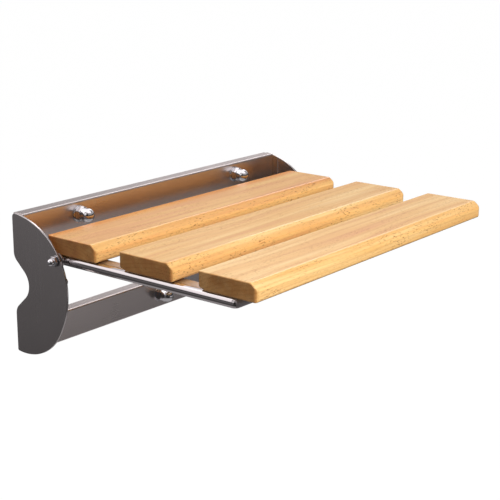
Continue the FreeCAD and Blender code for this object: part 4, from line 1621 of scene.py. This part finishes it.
def dome_level(graph):
    """Grey by direction: the card overhead and the smaller ones."""
    spot = object_spot(graph) - tuple(AIM)
    across, back, up = split(spot * (1 / DOME_SIZE))
    turned = across * 0.77 - back * 0.64
    box = band(turned, (-0.03, 0.07), (0.13, 0.26)) * up.between(0.0, 0.16)
    rail = band(up, (0.26, 0.31), (0.35, 0.5)) * turned.between(0.1, 0.2)
    left = band(up, (0.12, 0.27), (0.8, 0.9)) * back.between(0.3, 0.5)
    left = left * (1.0 - across.between(-0.15, 0.1))
    strip = band(back, (0.15, 0.22), (0.42, 0.48)) * up.between(0.4, 0.48)
    strip = strip * across.between(0.5, 0.6)
    window = (up * 0.45 - across * 0.89).between(0.93, 0.96)
    level = overhead_card(graph, across, back, up) + box * LOW_BOX + rail * RAIL_CARD
    return level + left * LEFT_CARD + strip * RIGHT_STRIP + window * SMALL_WINDOW


dome = bmesh.new()
bmesh.ops.create_uvsphere(dome, u_segments=48, v_segments=24, radius=DOME_SIZE)
dome_mesh = mesh_from("reflection_dome", dome)
dome_mesh.transform(Matrix.Translation(AIM))
for_reflections("reflection_dome", dome_mesh, dome_level)

# %% The sheet over the floor
SHEET_HALF, OVER_FLOOR = 5, 0.01
NEAR_SHADE, SHADE_RISE = 0.04, 0.055
FRONT_GLOW, FAR_PATCH, UNDER_PATCH = 0.03, 0.5, 0.35


def sheet_level(graph):
    """Grey that rises away from the seat, with a light patch under it and one far in front."""
    across, back = split(object_spot(graph))[:2]
    away = from_axis(across, back)
    ahead = back * -1.0
    front = ahead.between(0.0, 0.9)
    right = across.between(-0.4, 0.2)
    dark = 1.0 - front * (1.0 - right) * 0.72
    glow = front * right * (1.0 - away.between(1.5, 2.2))
    far = ahead.between(1.15, 1.4) * right * (1.0 - across.between(1.25, 1.4))
    under = 1.0 - away.between(0.5, 0.66)
    level = (away * SHADE_RISE + NEAR_SHADE) * dark
    return level + glow * FRONT_GLOW + far * FAR_PATCH + under * UNDER_PATCH


sheet = level_sheet("reflection_sheet", SHEET_HALF, FLOOR_DROP - OVER_FLOOR)
for_reflections("reflection_sheet", sheet, sheet_level)

# %% [markdown]
# ## The camera
#
# The camera stands where the photograph was taken from: to the left of the seat, in front of the
# wall and a little above it, with a long lens. Its place and angles are written as numbers that
# a photographer could set, and its matrix is worked out from them.

# %% Camera
CAMERA_SPOT = Vector((-1.11253, -1.03006, 0.32828))
CAMERA_YAW = math.radians(51.869)
CAMERA_PITCH = math.radians(15.554)
CAMERA_ROLL = math.radians(0.3745)
LENS, SENSOR = 88.14, 36


def camera_matrix():
    ahead = Vector((
        math.sin(CAMERA_YAW) * math.cos(CAMERA_PITCH),
        math.cos(CAMERA_YAW) * math.cos(CAMERA_PITCH),
        -math.sin(CAMERA_PITCH),
    ))
    level_right = Vector((math.cos(CAMERA_YAW), -math.sin(CAMERA_YAW), 0))
    level_up = level_right.cross(ahead)
    right = level_right * math.cos(CAMERA_ROLL) + level_up * math.sin(CAMERA_ROLL)
    up = level_up * math.cos(CAMERA_ROLL) - level_right * math.sin(CAMERA_ROLL)
    return Matrix((right, up, -ahead)).transposed().to_4x4()


camera = bpy.data.objects.new("photo_camera", bpy.data.cameras.new("photo_camera"))
camera.data.lens = LENS
camera.data.sensor_width = SENSOR
camera.matrix_world = Matrix.Translation(CAMERA_SPOT) @ camera_matrix()
bpy.context.scene.collection.objects.link(camera)
bpy.context.scene.camera = camera
bpy.context.scene.view_settings.view_transform = "Standard"
print("camera looks from", [round(part, 3) for part in CAMERA_SPOT])
